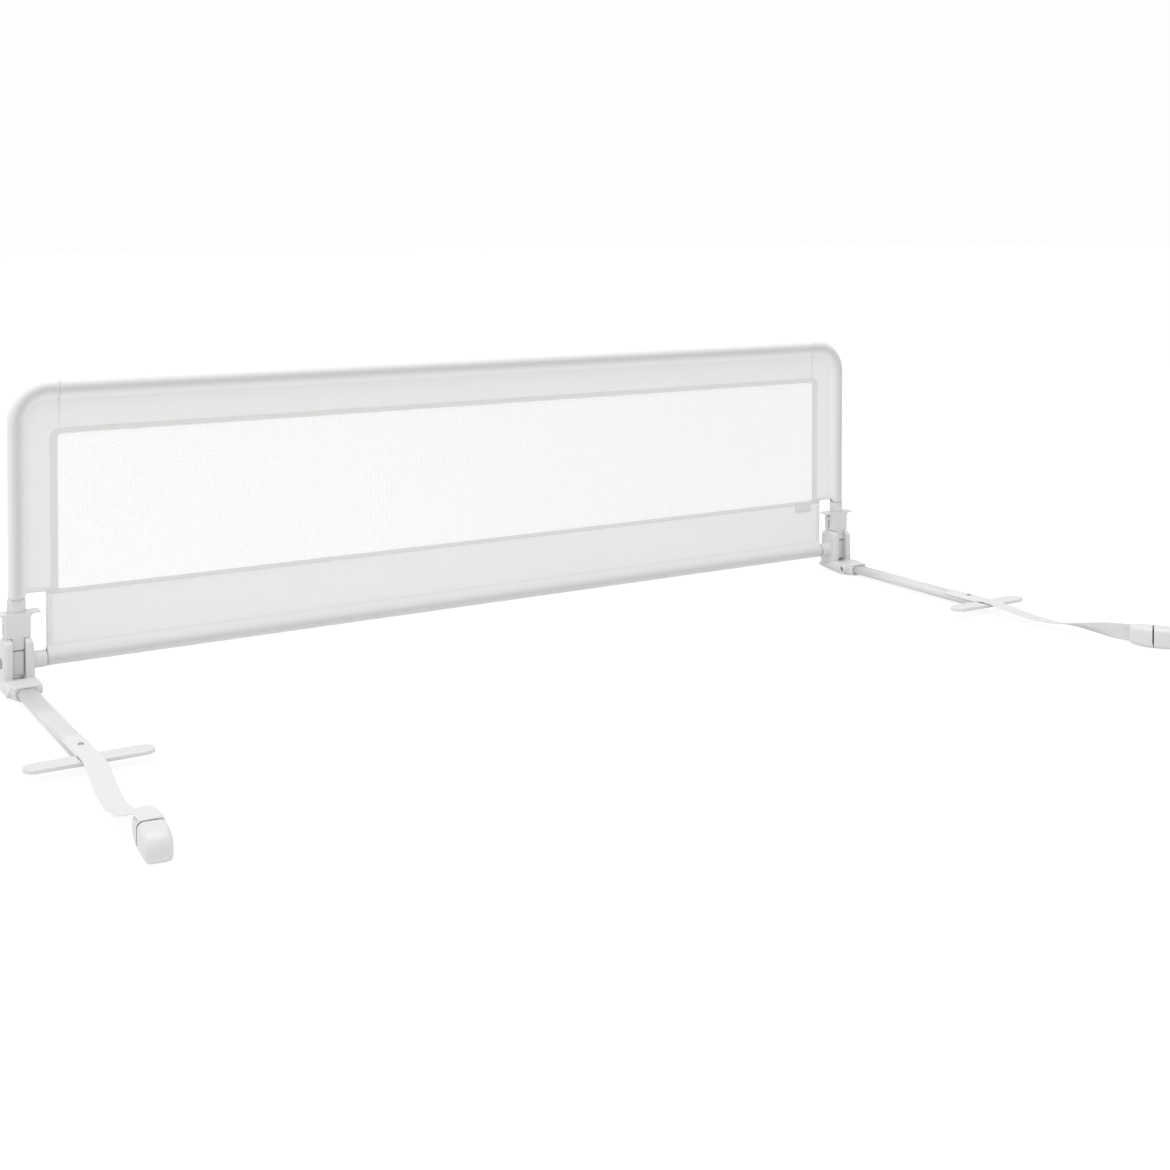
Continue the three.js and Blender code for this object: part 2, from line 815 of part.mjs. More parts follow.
// Cloth cover: flat bands sewn round a mesh window, with sleeves round the tubes
function windowOutline(grow, radius) {
  const half = windowHalf + grow;
  const low = windowBottom - grow;
  const high = windowTop + grow;
  const shape = new THREE.Shape();
  shape.moveTo(-half, low);
  shape.lineTo(half, low);
  shape.absarc(half - radius, high - radius, radius, 0, Math.PI / 2);
  shape.absarc(radius - half, high - radius, radius, Math.PI / 2, Math.PI);
  return shape;
}

function windowHole(shift) {
  const hole = alongY(windowOutline(clearance, bindingCorner + clearance), -clothThickness, clothThickness);
  return solid(hole.translate(shift, 0, 0));
}

function sheet(points) {
  return solid(alongY(polygon(points), -clothThickness / 2, clothThickness / 2, 0));
}

function sideBand() {
  const seam = -postToWindow - seamInset;
  const arc = cornerPath(sleeveBottom, -seam, sleeveOuter).slice(1, -1);
  const bend = arc.map(({ x, z }) => [x, z]);
  const flat = sheet([[0, sideBandBottom], ...bend, [seam, railHeight], [seam, sideBandBottom]]);
  const sleeve = solid(frameTube(cornerPath(sleeveBottom, -seam, sleeveOuter), tubeSides));
  const bore = cornerPath(sleeveBottom - overrun, overrun - seam, sleeveInner);
  return cutBy(
    flat.subtract(windowHole(-halfSpacing)).add(sleeve),
    solid(frameTube(bore, tubeSides)),
  );
}

function topBand() {
  const half = windowHalf - seamInset - clearance;
  const strip = sheet([
    [-half, windowTop - overrun],
    [half, windowTop - overrun],
    [half, railHeight],
    [-half, railHeight],
  ]);
  const sleeve = solid(rodX(sleeveOuter, -half, half, 0, railHeight, tubeSides));
  const bore = rodX(sleeveInner, -half - overrun, half + overrun, 0, railHeight, tubeSides);
  return strip.subtract(windowHole(0)).add(sleeve).subtract(solid(bore));
}

function lowerPanel() {
  const half = halfSpacing - panelEnd;
  const top = sideBandBottom - clearance;
  const flat = sheet([
    [-half, 0],
    [half, 0],
    [half, top],
    [-half, top],
  ]);
  const sleeve = solid(rodX(sleeveOuter, -half, half, 0, 0, tubeSides));
  const bore = rodX(sleeveInner, -half - overrun, half + overrun, 0, 0, tubeSides);
  return flat.subtract(windowHole(0)).add(sleeve).subtract(solid(bore));
}

function windowBinding() {
  const outline = windowOutline(0, bindingCorner);
  outline.holes.push(windowOutline(-bindingWidth, windowCorner));
  return alongY(outline, -bindingThickness / 2, bindingThickness / 2, 0);
}

function meshWindow() {
  return alongY(windowOutline(-bindingWidth - clearance, windowCorner), -meshThickness / 2, meshThickness / 2, 0);
}

// Straps: webbing along a route of points chosen by hand, each with the way that its upper face looks.
// They start at a cut end on the arm, run over the cross foot and end in the anchor's slit.
// A row's Y counts from the cross foot's middle.
const strapLevel = armTop + clearance + strapThickness / 2;
const leftRoute = [
  [0, 80, strapLevel, 0, 0, 1],
  [0, 58, strapLevel, 0, 0, 1],
  [0, 38, strapLevel, 0, 0, 1],
  [0, 22, strapLevel, 0, 0, 1],
  [0, 8, strapLevel, 0, 0, 1],
  [0, -5, -21, 0, 0, 1],
  [0, -17, -21.7, 0, 0, 1],
  [1.3, -35.1, -22.9, 0, 0, 1],
  [3.4, -63.1, -27.4, 0, 0, 1],
  [6.3, -93.8, -31.9, 0, 0, 1],
  [7.8, -121.4, -35, 0, 0, 1],
  [8.3, -145.1, -36.6, 0, 0, 1],
  [8.3, -168.8, -36.4, 0, 0, 1],
  [8.3, -190.7, -31.5, 0, 0, 1],
  [8.4, -208.8, -21, 0, 0, 1],
  [8.5, -225.3, -8, 0, 0, 1],
  [8.5, -241.3, -1.8, 0, 0, 1],
  [8.5, -254.3, -0.7, 0, 0, 1],
  [8.5, -266, -0.9, 0, 0, 1],
  [8.5, -271.2, -0.9, 0, -0.2, 1],
  [8.5, -274.6, -1.6, 0, -1, 0.8],
  [8.5, -275.7, -4.5, 0, -1, 0],
  [8.5, -275.4, -9, 0, -1, 0],
  [8.5, -275, -14, 0, -1, 0],
];
const rightRoute = [
  [0, 80, strapLevel, 0, 0, 1],
  [0, 58, strapLevel, 0, 0, 1],
  [0, 38, strapLevel, 0, 0, 1],
  [0, 22, strapLevel, 0, 0, 1],
  [0.3, 8, strapLevel, 0, 0, 1],
  [1, -5, -21, 0, 0, 1],
  [2.5, -17, -21.7, 0, 0, 1],
  [1.7, -37.1, -23.5, 0, 0, 1],
  [1.3, -67.1, -27.9, 0, 0, 1],
  [2.8, -101.7, -32.4, 0.02, 0.02, 1],
  [8.5, -133.3, -34, 0.1, 0.08, 1],
  [18.3, -163, -31, 0.32, 0.25, 0.95],
  [26.1, -193.8, -27.2, 0.6, 0.47, 0.7],
  [35.1, -222, -24.8, 0.77, 0.6, 0.3],
  [45.4, -247, -24, 0.785, 0.62, 0.05],
  [52.8, -256.5, -23, 0.785, 0.62, 0],
  [59.6, -265.1, -22, 0.785, 0.62, 0],
  [62.8, -269.2, -21.6, 0.785, 0.4, 0],
  [64.4, -272.3, -21.5, 1, -0.3, 0],
  [62.8, -274.9, -21.5, 0.62, -0.785, 0],
  [59.1, -277.5, -21.5, 0.62, -0.785, 0],
  [54.9, -280.3, -21.5, 0.62, -0.785, 0],
];
const leftAxis = [0, -1, 0];
const leftFace = [0, 0, 1];
const rightAxis = [0.62, -0.785, 0];
const rightFace = [0.785, 0.62, 0];

function routePoint([x, y, z]) {
  return new THREE.Vector3(x, y - footReach, z);
}

function strap(route) {
  const path = new THREE.CatmullRomCurve3(route.map(routePoint));
  const facing = new THREE.CatmullRomCurve3(
    route.map(([, , , x, y, z]) => new THREE.Vector3(x, y, z)),
    false,
    "catmullrom",
  );
  path.curveType = "catmullrom";
  const half = strapWidth / 2;
  const thick = strapThickness / 2;
  const outline = [
    [-half, -thick],
    [half, -thick],
    [half, thick],
    [-half, thick],
  ];
  const rings = [];
  for (let i = 0; i <= strapSteps; i++) {
    const t = i / strapSteps;
    const along = path.getTangent(t);
    const v = facing.getPoint(t);
    v.addScaledVector(along, -v.dot(along)).normalize();
    const u = new THREE.Vector3().crossVectors(v, along);
    rings.push(ring(path.getPoint(t), u, v, outline));
  }
  return { body: solid(loft(rings)).subtract(solid(footScrewBore(-armDrop))), length: path.getLength() };
}

// Anchor: two rounded halves on one core; local Y runs from front to rear, Z is the side that the strap enters.
// Each row holds shares of the half's length, then of the half height above and below, and of the half width.
const anchorFrontShares = [
  [0, 1, 1, 1],
  [0.2, 1, 1, 1],
  [0.4, 0.96, 1, 1],
  [0.58, 0.84, 1, 1],
  [0.74, 0.66, 1, 0.98],
  [0.87, 0.42, 1, 0.95],
  [0.96, 0.14, 0.98, 0.9],
  [1, -0.1, 0.92, 0.84],
];
const anchorRearShares = [
  [0, 1, 1, 1],
  [0.12, 1, 0.97, 1],
  [0.35, 1, 0.84, 1],
  [0.58, 0.97, 0.66, 0.98],
  [0.78, 0.9, 0.48, 0.94],
  [0.93, 0.76, 0.34, 0.87],
  [1, 0.6, 0.22, 0.78],
];

function anchorHalf(shares, start, length) {
  const across = new THREE.Vector3(1, 0, 0);
  const up = new THREE.Vector3(0, 0, 1);
  const rings = shares.map(([along, above, below, wide]) => {
    const high = (above * anchorHeight) / 2;
    const low = (-below * anchorHeight) / 2;
    const outline = roundedRect(wide * anchorWidth, high - low, anchorEdge, 0, (high + low) / 2);
    const points = outline.getPoints().map(({ x, y }) => [x, y]);
    return ring(new THREE.Vector3(0, start + along * length, 0), across, up, points);
  });
  return solid(loft(length > 0 ? rings.reverse() : rings));
}

function anchorRearHalf() {
  const face = anchorSlit / 2;
  const core = box(-coreWidth / 2, coreWidth / 2, -face - coreSeat, face + anchorEdge, -coreHeight / 2, 0);
  return joined(anchorHalf(anchorRearShares, face, anchorRear), solid(core));
}

function anchorFrontHalf() {
  const face = -anchorSlit / 2;
  const half = coreWidth / 2 + clearance;
  const pocket = box(-half, half, face - coreSeat - clearance, face + overrun, -coreHeight / 2 - clearance, clearance);
  return anchorHalf(anchorFrontShares, face, -anchorFront).subtract(solid(pocket));
}

// The anchor lies so that the strap's end sits in the middle of its slit
function anchorGroup(side, route, axis, facing) {
  const group = new THREE.Group();
  const front = new THREE.Vector3(...axis);
  const upper = new THREE.Vector3(...facing);
  const rear = front.clone().negate();
  const across = new THREE.Vector3().crossVectors(rear, upper);
  const end = routePoint(route[route.length - 1]).addScaledVector(upper, strapDip - anchorHeight / 2);
  group.applyMatrix4(new THREE.Matrix4().makeBasis(across, rear, upper).setPosition(end));
  group.add(named(`anchor_rear_${side}`, anchorRearHalf(), whitePlastic));
  group.add(named(`anchor_front_${side}`, anchorFrontHalf(), whitePlastic));
  return group;
}

// One side: its pieces are made with X pointing away from the middle, and the left side is mirrored
function hingeSide(side, direction) {
  const fixed = new THREE.Group();
  const spring = returnSpring();
  fixed.add(named(`hinge_base_${side}`, hingeBase(), whitePlastic));
  fixed.add(named(`pivot_pin_${side}`, pivotPin(), steel));
  fixed.add(named(`arm_${side}`, armTube(), whitePaint));
  fixed.add(named(`arm_screw_${side}`, armScrew(), steel));
  fixed.add(named(`cross_foot_${side}`, crossFoot(), whitePlastic));
  fixed.add(named(`foot_screw_${side}`, footScrew(), steel));
  const turning = new THREE.Group();
  turning.add(named(`post_foot_${side}`, postFoot(), whitePlastic));
  turning.add(named(`slot_pin_${side}`, slotPin(), steel));
  turning.add(named(`corner_tube_${side}`, cornerTube(), whitePaint));
  turning.add(named(`side_band_${side}`, sideBand(), cloth));
  turning.add(named(`return_spring_${side}`, spring.geometry, steel));
  const sliding = new THREE.Group();
  sliding.add(named(`slider_${side}`, slider(), whitePlastic));
  sliding.add(named(`slider_screw_${side}`, sliderScrew(), steel));
  console.log(`return_spring_${side}: least gap between turns ${leastGap(spring.centres).toFixed(2)} mm`);
  const group = new THREE.Group();
  group.add(fixed, turning, sliding);
  group.position.x = direction * halfSpacing;
  group.scale.x = direction;
  return group;
}

function bottomTubes() {
  const outer = halfSpacing - cheekOuter - clearance - tubeWall;
  const group = new THREE.Group();
  group.add(named("bottom_tube_left", straightTube(-outer, -clearance / 2, 0, swageLength), whitePaint));
  group.add(named("bottom_tube_right", straightTube(outer, clearance / 2, 0), whitePaint));
  return group;
}

function railMiddle() {
  const half = halfSpacing - cornerLeg - clearance;
  const group = new THREE.Group();
  group.add(named("top_tube", straightTube(-half, half, railHeight), whitePaint));
  group.add(named("top_band", topBand(), cloth));
  group.add(named("lower_panel", lowerPanel(), cloth));
  group.add(named("window_binding", windowBinding(), tape));
  group.add(named("mesh_window", meshWindow(), net));
  return group;
}

// Each strap is drawn at its own hinge; the right one curves outwards and the left one runs straight
function strapSide(side, direction, route, axis, facing) {
  const { body, length } = strap(route);
  console.log(`strap_${side}: ${length.toFixed(0)} mm long`);
  const group = new THREE.Group();
  group.add(named(`strap_${side}`, body, webbingFinish));
  group.add(anchorGroup(side, route, axis, facing));
  group.position.x = direction * halfSpacing;
  group.scale.x = direction;
  return group;
}

const guardRail = new THREE.Group();
guardRail.add(hingeSide("left", -1), hingeSide("right", 1), bottomTubes(), railMiddle());
guardRail.add(strapSide("left", -1, leftRoute, leftAxis, leftFace));
guardRail.add(strapSide("right", 1, rightRoute, rightAxis, rightFace));
guardRail.position.set(0, railPlane, pivotHeight);

const part = new THREE.Group();
part.add(guardRail);

export default part;
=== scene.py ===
import json
import math

import bmesh
import bpy
import numpy as np
from mathutils import Matrix, Vector, noise


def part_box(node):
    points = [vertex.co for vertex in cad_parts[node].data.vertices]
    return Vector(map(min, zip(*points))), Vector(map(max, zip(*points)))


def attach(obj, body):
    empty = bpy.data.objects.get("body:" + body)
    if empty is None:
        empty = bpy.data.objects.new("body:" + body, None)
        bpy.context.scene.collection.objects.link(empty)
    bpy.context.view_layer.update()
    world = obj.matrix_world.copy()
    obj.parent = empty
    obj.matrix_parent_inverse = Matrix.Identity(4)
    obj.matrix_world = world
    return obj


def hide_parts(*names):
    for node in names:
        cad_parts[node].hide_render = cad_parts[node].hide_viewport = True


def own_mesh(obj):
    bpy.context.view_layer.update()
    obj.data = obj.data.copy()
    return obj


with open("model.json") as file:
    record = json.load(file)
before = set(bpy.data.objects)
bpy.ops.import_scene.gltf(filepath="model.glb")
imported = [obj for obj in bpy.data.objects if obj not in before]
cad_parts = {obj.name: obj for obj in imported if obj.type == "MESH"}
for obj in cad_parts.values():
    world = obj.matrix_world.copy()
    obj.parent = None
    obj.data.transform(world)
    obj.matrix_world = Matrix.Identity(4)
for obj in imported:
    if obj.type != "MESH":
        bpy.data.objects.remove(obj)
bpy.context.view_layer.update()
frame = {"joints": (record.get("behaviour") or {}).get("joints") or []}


# The stage: a pale floor under a white sky, one large soft lamp above the bed's side and one on the left.
# The camera stands beyond the foot end of the bed and looks almost level, with the frame shifted down.
def linear(hex_colour):
    """A colour written as sRGB hex, as the linear values that a shader takes."""
    parts = [(hex_colour >> shift & 255) / 255 for shift in (16, 8, 0)]
    return (*[c / 12.92 if c <= 0.04045 else ((c + 0.055) / 1.055) ** 2.4 for c in parts], 1.0)


def add_node(tree, kind, links=(), **settings):
    """Adds a node; links holds pairs of an input and the socket or value that feeds it."""
    node = tree.nodes.new(kind)
    for name, value in settings.items():
        setattr(node, name, value)
    for key, value in links:
        if isinstance(value, bpy.types.NodeSocket):
            tree.links.new(value, node.inputs[key])
        else:
            node.inputs[key].default_value = value
    return node


def empty_material(name):
    material = bpy.data.materials.new(name)
    material.use_nodes = True
    material.node_tree.nodes.clear()
    return material, material.node_tree


def seen_directly(tree):
    """1 where a ray comes from the camera, a mirror image or glass, and 0 where it lights the object."""
    path = add_node(tree, "ShaderNodeLightPath")
    shown = add_node(
        tree,
        "ShaderNodeMath",
        [(0, path.outputs["Is Camera Ray"]), (1, path.outputs["Is Glossy Ray"])],
        operation="MAXIMUM",
    )
    return add_node(
        tree,
        "ShaderNodeMath",
        [(0, shown.outputs[0]), (1, path.outputs["Is Transmission Ray"])],
        operation="MAXIMUM",
    ).outputs[0]


SKY_LIGHT = 0.745
SKY_SHOWN = 0.985
FLOOR_GLOW = 0.84  # share of the floor that shows as plain white, so that the shadow stays faint
GLOW_STRENGTH = 1.066  # so that the lit floor and its glow together meet the sky without a line

world = bpy.data.worlds.new("white sky")
world.use_nodes = True
world.node_tree.nodes.clear()
tree = world.node_tree
strength = add_node(
    tree,
    "ShaderNodeMapRange",
    [("Value", seen_directly(tree)), ("To Min", SKY_LIGHT), ("To Max", SKY_SHOWN)],
)
sky = add_node(tree, "ShaderNodeBackground", [("Color", (1, 1, 1, 1)), ("Strength", strength.outputs[0])])
add_node(tree, "ShaderNodeOutputWorld", [("Surface", sky.outputs[0])])
bpy.context.scene.world = world

floor_paint, tree = empty_material("matt white floor")
lit = add_node(tree, "ShaderNodeBsdfDiffuse", [("Color", linear(0xF4F4F3))])
glow = add_node(tree, "ShaderNodeEmission", [("Color", (1, 1, 1, 1)), ("Strength", GLOW_STRENGTH)])
share = add_node(tree, "ShaderNodeMath", [(0, seen_directly(tree)), (1, FLOOR_GLOW)], operation="MULTIPLY")
mixed = add_node(
    tree, "ShaderNodeMixShader", [(0, share.outputs[0]), (1, lit.outputs[0]), (2, glow.outputs[0])]
)
add_node(tree, "ShaderNodeOutputMaterial", [("Surface", mixed.outputs[0])])

FLOOR_HALF = 30.0
FLOOR_LEVEL = -0.0005  # just under the feet
floor_mesh = bpy.data.meshes.new("floor")
corners = [(-1, -1), (1, -1), (1, 1), (-1, 1)]
floor_mesh.from_pydata(
    [(FLOOR_HALF * x, FLOOR_HALF * y, FLOOR_LEVEL) for x, y in corners], [], [(0, 1, 2, 3)]
)
floor_mesh.materials.append(floor_paint)
floor = bpy.data.objects.new("floor", floor_mesh)
bpy.context.scene.collection.objects.link(floor)

LAMPS = [
    # name, place, aim, size and power in watts
    ("soft box above", (-1.0, -0.4, 6.0), (0, 0.1, 0.1), 4.5, 215),
    ("soft box on the left", (-6.5, -0.8, 2.0), (0, 0.1, 0.2), 3.5, 36),
]
for name, place, aim, size, power in LAMPS:
    lamp = bpy.data.lights.new(name, "AREA")
    lamp.size = size
    lamp.energy = power
    holder = bpy.data.objects.new(name, lamp)
    holder.location = place
    holder.rotation_euler = (Vector(aim) - Vector(place)).to_track_quat("-Z", "Y").to_euler()
    bpy.context.scene.collection.objects.link(holder)

PHOTO_SIZE = 1170
FOCAL_PIXELS = 1613.7
AXIS_ROW = 250.2  # the image row that the level axis meets
lens = bpy.data.cameras.new("camera")
lens.sensor_width = 36.0
lens.lens = lens.sensor_width * FOCAL_PIXELS / PHOTO_SIZE
lens.shift_y = (AXIS_ROW - PHOTO_SIZE / 2) / PHOTO_SIZE
lens.clip_start = 0.05
lens.clip_end = 200.0
camera = bpy.data.objects.new("camera", lens)
camera.location = (-1.19975, -2.04827, 0.63092)
camera.rotation_euler = (math.pi / 2 - 0.0189, -0.0007, -0.5544)
bpy.context.scene.collection.objects.link(camera)
bpy.context.scene.camera = camera
bpy.context.scene.view_settings.view_transform = "Standard"


# The straps: white polypropylene webbing, 26 mm wide, woven flat with two firm selvedges.
# Each is cut and screwed to its arm, runs over the cross foot and ends in the slit of its anchor.
MM = 0.001
fold_axis = Vector(next(joint for joint in frame["joints"] if joint["name"] == "rail_fold")["pos_m"])
TUBE_RADIUS = 9.5
POST_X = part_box("corner_tube_right")[1].x / MM - TUBE_RADIUS  # from the rail's middle to a post's centre


def to_row(x, y, z, side=1):
    """Millimetres from the fold axis at a post, x away from the rail's middle, as metres in the frame."""
    return Vector((side * (POST_X + x) * MM, fold_axis.y + y * MM, fold_axis.z + z * MM))


def new_piece(name, points, faces, uv=None):
    """A smooth mesh from points in metres; uv gives each point its place on the cloth."""
    mesh = bpy.data.meshes.new(name)
    mesh.from_pydata([tuple(p) for p in points], [], faces)
    if uv is not None:
        layer = mesh.uv_layers.new(name="cloth")
        corners = np.zeros(len(mesh.loops), int)
        mesh.loops.foreach_get("vertex_index", corners)
        layer.data.foreach_set("uv", np.asarray(uv, float)[corners].reshape(-1))
    mesh.polygons.foreach_set("use_smooth", [True] * len(mesh.polygons))
    piece = bpy.data.objects.new(name, mesh)
    bpy.context.scene.collection.objects.link(piece)
    return piece


def skin_faces(rings, count, closed_round=True, capped=True):
    """Quads between rings of count points each, with a flat face on both ends if capped."""
    faces = []
    for i in range(rings - 1):
        for j in range(count if closed_round else count - 1):
            k = (j + 1) % count
            faces.append((i * count + j, i * count + k, (i + 1) * count + k, (i + 1) * count + j))
    if capped:
        faces.append(tuple(range(count))[::-1])
        faces.append(tuple((rings - 1) * count + j for j in range(count)))
    return faces


def open_skin(rows, count):
    """Quads of an open sheet: rows of count points each."""
    return skin_faces(rows, count, closed_round=False, capped=False)


def outward(piece):
    """Turns the faces of a closed piece outwards."""
    shell = bmesh.new()
    shell.from_mesh(piece.data)
    bmesh.ops.recalc_face_normals(shell, faces=shell.faces)
    shell.to_mesh(piece.data)
    shell.free()
    return piece


def finish_piece(piece, body, material, replaces=()):
    piece.data.materials.clear()
    piece.data.materials.append(material)
    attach(piece, body)
    if replaces:
        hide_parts(*replaces)
    return piece


def smooth_curve(rows, steps):
    """Points on the even Catmull-Rom curve through the rows."""
    rows = np.asarray(rows, float)
    padded = np.vstack([2 * rows[0] - rows[1], rows, 2 * rows[-1] - rows[-2]])
    made = []
    for place in np.linspace(0, len(rows) - 1, steps + 1):
        i = min(int(place), len(rows) - 2)
        t = place - i
        a, b, c, d = padded[i : i + 4]
        twice = 2 * b + (c - a) * t + (2 * a - 5 * b + 4 * c - d) * t**2 + (3 * b - a - 3 * c + d) * t**3
        made.append(0.5 * twice)
    return np.array(made)


def material_with_shader(name, hex_colour, roughness, **sockets):
    """A material that holds one Principled shader; its pattern is linked by the section that makes it."""
    material, tree = empty_material(name)
    inputs = [("Base Color", linear(hex_colour)), ("Roughness", roughness)]
    inputs += [(key.replace("_", " "), value) for key, value in sockets.items()]
    shader = add_node(tree, "ShaderNodeBsdfPrincipled", inputs)
    add_node(tree, "ShaderNodeOutputMaterial", [("Surface", shader.outputs[0])])
    return material, tree, shader


def varied(made, size_mm, detail, gloss=None, relief=None):
    """Lets a noise with its size in millimetres vary a surface's gloss between two values, or its relief.

    The relief is a height in millimetres and a strength.
    """
    material, tree, shader = made
    place = add_node(tree, "ShaderNodeTexCoord")
    speck = add_node(
        tree,
        "ShaderNodeTexNoise",
        [("Vector", place.outputs["Object"]), ("Scale", 1 / (size_mm * MM)), ("Detail", detail)],
    )
    if gloss:
        low, high = gloss
        rough = add_node(
            tree, "ShaderNodeMapRange", [("Value", speck.outputs[0]), ("To Min", low), ("To Max", high)]
        )
        tree.links.new(rough.outputs[0], shader.inputs["Roughness"])
    if relief:
        height, strength = relief
        raised = add_node(
            tree,
            "ShaderNodeBump",
            [("Height", speck.outputs[0]), ("Distance", height * MM), ("Strength", strength)],
        )
        tree.links.new(raised.outputs[0], shader.inputs["Normal"])
    return material


def cloth_place(tree):
    """The place on the cloth map, split into its length and its width in metres."""
    place = add_node(tree, "ShaderNodeTexCoord")
    return add_node(tree, "ShaderNodeSeparateXYZ", [(0, place.outputs["UV"])]).outputs


def sine_along(tree, distance, length_mm):
    """A sine wave with a length in millimetres along a distance in metres."""
    turns = add_node(
        tree, "ShaderNodeMath", [(0, distance), (1, 2 * math.pi / (length_mm * MM))], operation="MULTIPLY"
    )
    return add_node(tree, "ShaderNodeMath", [(0, turns.outputs[0])], operation="SINE").outputs[0]


# Woven polypropylene: cross ribs 1.3 mm apart, in two columns of threads that lean against each other,
# which the eye takes as a soft twill.
RIB_MM = 1.3
COLUMN_MM = 2.6
WEBBING_WHITE = 0xDCDCDB
webbing, tree, shader = material_with_shader(
    "woven polypropylene webbing", WEBBING_WHITE, 0.62, Sheen_Weight=0.15
)
split = cloth_place(tree)
column = add_node(tree, "ShaderNodeMath", [(0, split["Y"]), (1, COLUMN_MM * MM)], operation="PINGPONG")
slant = add_node(tree, "ShaderNodeMath", [(0, split["X"]), (1, column.outputs[0])], operation="ADD")
wave = sine_along(tree, slant.outputs[0], RIB_MM)
ribs = add_node(tree, "ShaderNodeBump", [("Height", wave), ("Distance", 0.12 * MM), ("Strength", 0.55)])
# Painted shade: the valleys between the ribs are up to 4.5 % darker than their crests
rib_valley_shade = add_node(
    tree, "ShaderNodeMapRange", [("Value", wave), ("From Min", -1.0), ("To Min", 0.955), ("To Max", 1.0)]
)
shade = add_node(
    tree,
    "ShaderNodeVectorMath",
    [(0, linear(WEBBING_WHITE)[:3]), (1, rib_valley_shade.outputs[0])],
    operation="MULTIPLY",
)
tree.links.new(shade.outputs[0], shader.inputs["Base Color"])
tree.links.new(ribs.outputs[0], shader.inputs["Normal"])

STRAP_WIDTH = 26.0
STRAP_THICK = 1.5
STRAP_STEPS = 260
ARM_ROUND = 6.5  # radius of the arm's rounded edges, which the webbing bends over
HUG_END = 371.0  # it lies flat again from here on
HUG_BLEND = 18.0
STRAP_LEVEL = -19.9  # the middle of the webbing where it lies on the arm
# Each row is a point on the strap's middle and the way that its upper face looks.
on_arm = [(0, y, STRAP_LEVEL, 0, 0, 1) for y in (-290, -312, -332, -348)]
left_route = [
    *on_arm,
    (0, -362, STRAP_LEVEL, 0, 0, 1),
    (0, -375, -21, 0, 0, 1),
    (0, -387, -21.7, 0, 0, 1),
    (1.3, -405.1, -22.9, 0, 0, 1),
    (3.4, -433.1, -27.4, 0, 0, 1),
    (6.3, -463.8, -31.9, 0, 0, 1),
    (7.8, -491.4, -34.3, 0, 0, 1),
    (8.8, -512, -34.3, 0, 0, 1),
    (9.9, -534, -30.6, 0, 0, 1),
    (10.6, -554, -26, 0.1, 0, 1),
    (10.4, -572, -19.8, 0.18, 0, 1),
    (9.8, -588, -14.2, 0.18, 0, 1),
    (9.3, -602, -10, 0.08, 0, 1),
    (9.1, -615.3, -7.3, 0, 0, 1),
    (9, -627, -6.9, 0, 0, 1),
    (9, -632.2, -6.9, 0.02, -0.2, 1),
    (9, -635.6, -7.6, 0.1, -1, 0.8),
    (9, -636.7, -10.5, 0.1, -1, 0),
    (9, -636.4, -15, 0.1, -1, 0),
    (9, -636, -20, 0.1, -1, 0),
]
right_route = [
    *on_arm,
    (0.3, -362, STRAP_LEVEL, 0, 0, 1),
    (1, -375, -21, 0, 0, 1),
    (2.5, -387, -21.7, 0, 0, 1),
    (1.7, -407.1, -23.5, 0, 0, 1),
    (1.3, -437.1, -26, 0, 0, 1),
    (2.8, -471.7, -28.2, 0.02, 0.02, 1),
    (8.5, -503.3, -28.6, 0.1, 0.08, 1),
    (18.3, -533, -26.8, 0.32, 0.25, 0.95),
    (26.1, -563.8, -25.4, 0.6, 0.47, 0.7),
    (35.1, -592, -24.5, 0.77, 0.6, 0.3),
    (45.4, -617, -24.2, 0.79, 0.62, 0.05),
    (52.8, -626.5, -23.6, 0.79, 0.62, 0),
    (59.6, -635.1, -23.2, 0.79, 0.62, 0),
    (62.8, -639.2, -23, 0.79, 0.4, 0),
    (64.4, -642.3, -23, 1, -0.3, 0),
    (62.8, -644.9, -23, 0.62, -0.79, 0),
    (59.1, -647.5, -23, 0.62, -0.79, 0),
    (54.9, -650.3, -23, 0.62, -0.79, 0),
]


def strap(name, side, route):
    """The webbing swept along its route, with rounded selvedges and its length on the cloth map."""
    half, thick = STRAP_WIDTH / 2, STRAP_THICK / 2
    upper = [(half, 0.0), (half - 0.2, 0.45 * thick), (half - 0.8, 0.95 * thick)]
    upper += [(share * half, thick) for share in (0.86, 0.78, 0.7, 0.62, 0.54, 0.4, 0.2)]
    upper += [(0.0, thick)] + [(-a, b) for a, b in upper[::-1]]
    outline = upper + [(-a, -b) for a, b in upper[1:-1]]
    line = smooth_curve([row[:3] for row in route], STRAP_STEPS)
    facing = smooth_curve([row[3:] for row in route], STRAP_STEPS)
    along = np.gradient(line, axis=0)
    lengths = np.concatenate([[0], np.cumsum(np.linalg.norm(np.diff(line, axis=0), axis=1))])
    points, cloth_map = [], []
    for centre, ahead, up, run in zip(line, along, facing, lengths):
        ahead = Vector(ahead).normalized()
        up = Vector(up) - Vector(up).dot(ahead) * ahead
        up.normalize()
        across = up.cross(ahead)
        hug = float(min(max((centre[1] + HUG_END) / HUG_BLEND, 0), 1))
        for a, b in outline:
            past = min(max(abs(a) - ARM_ROUND, 0), 0.9 * ARM_ROUND)
            droop = hug * (ARM_ROUND - math.sqrt(ARM_ROUND**2 - past**2))
            points.append(to_row(*(Vector(centre) + a * across + (b - droop) * up), side))
            cloth_map.append((run * MM, a * MM))
    piece = outward(new_piece(name, points, skin_faces(len(line), len(outline)), cloth_map))
    return piece, [to_row(*p, side) for p in line], lengths[-1] * MM


straps = {
    "left": strap("webbing_left", -1, left_route),
    "right": strap("webbing_right", 1, right_route),
}
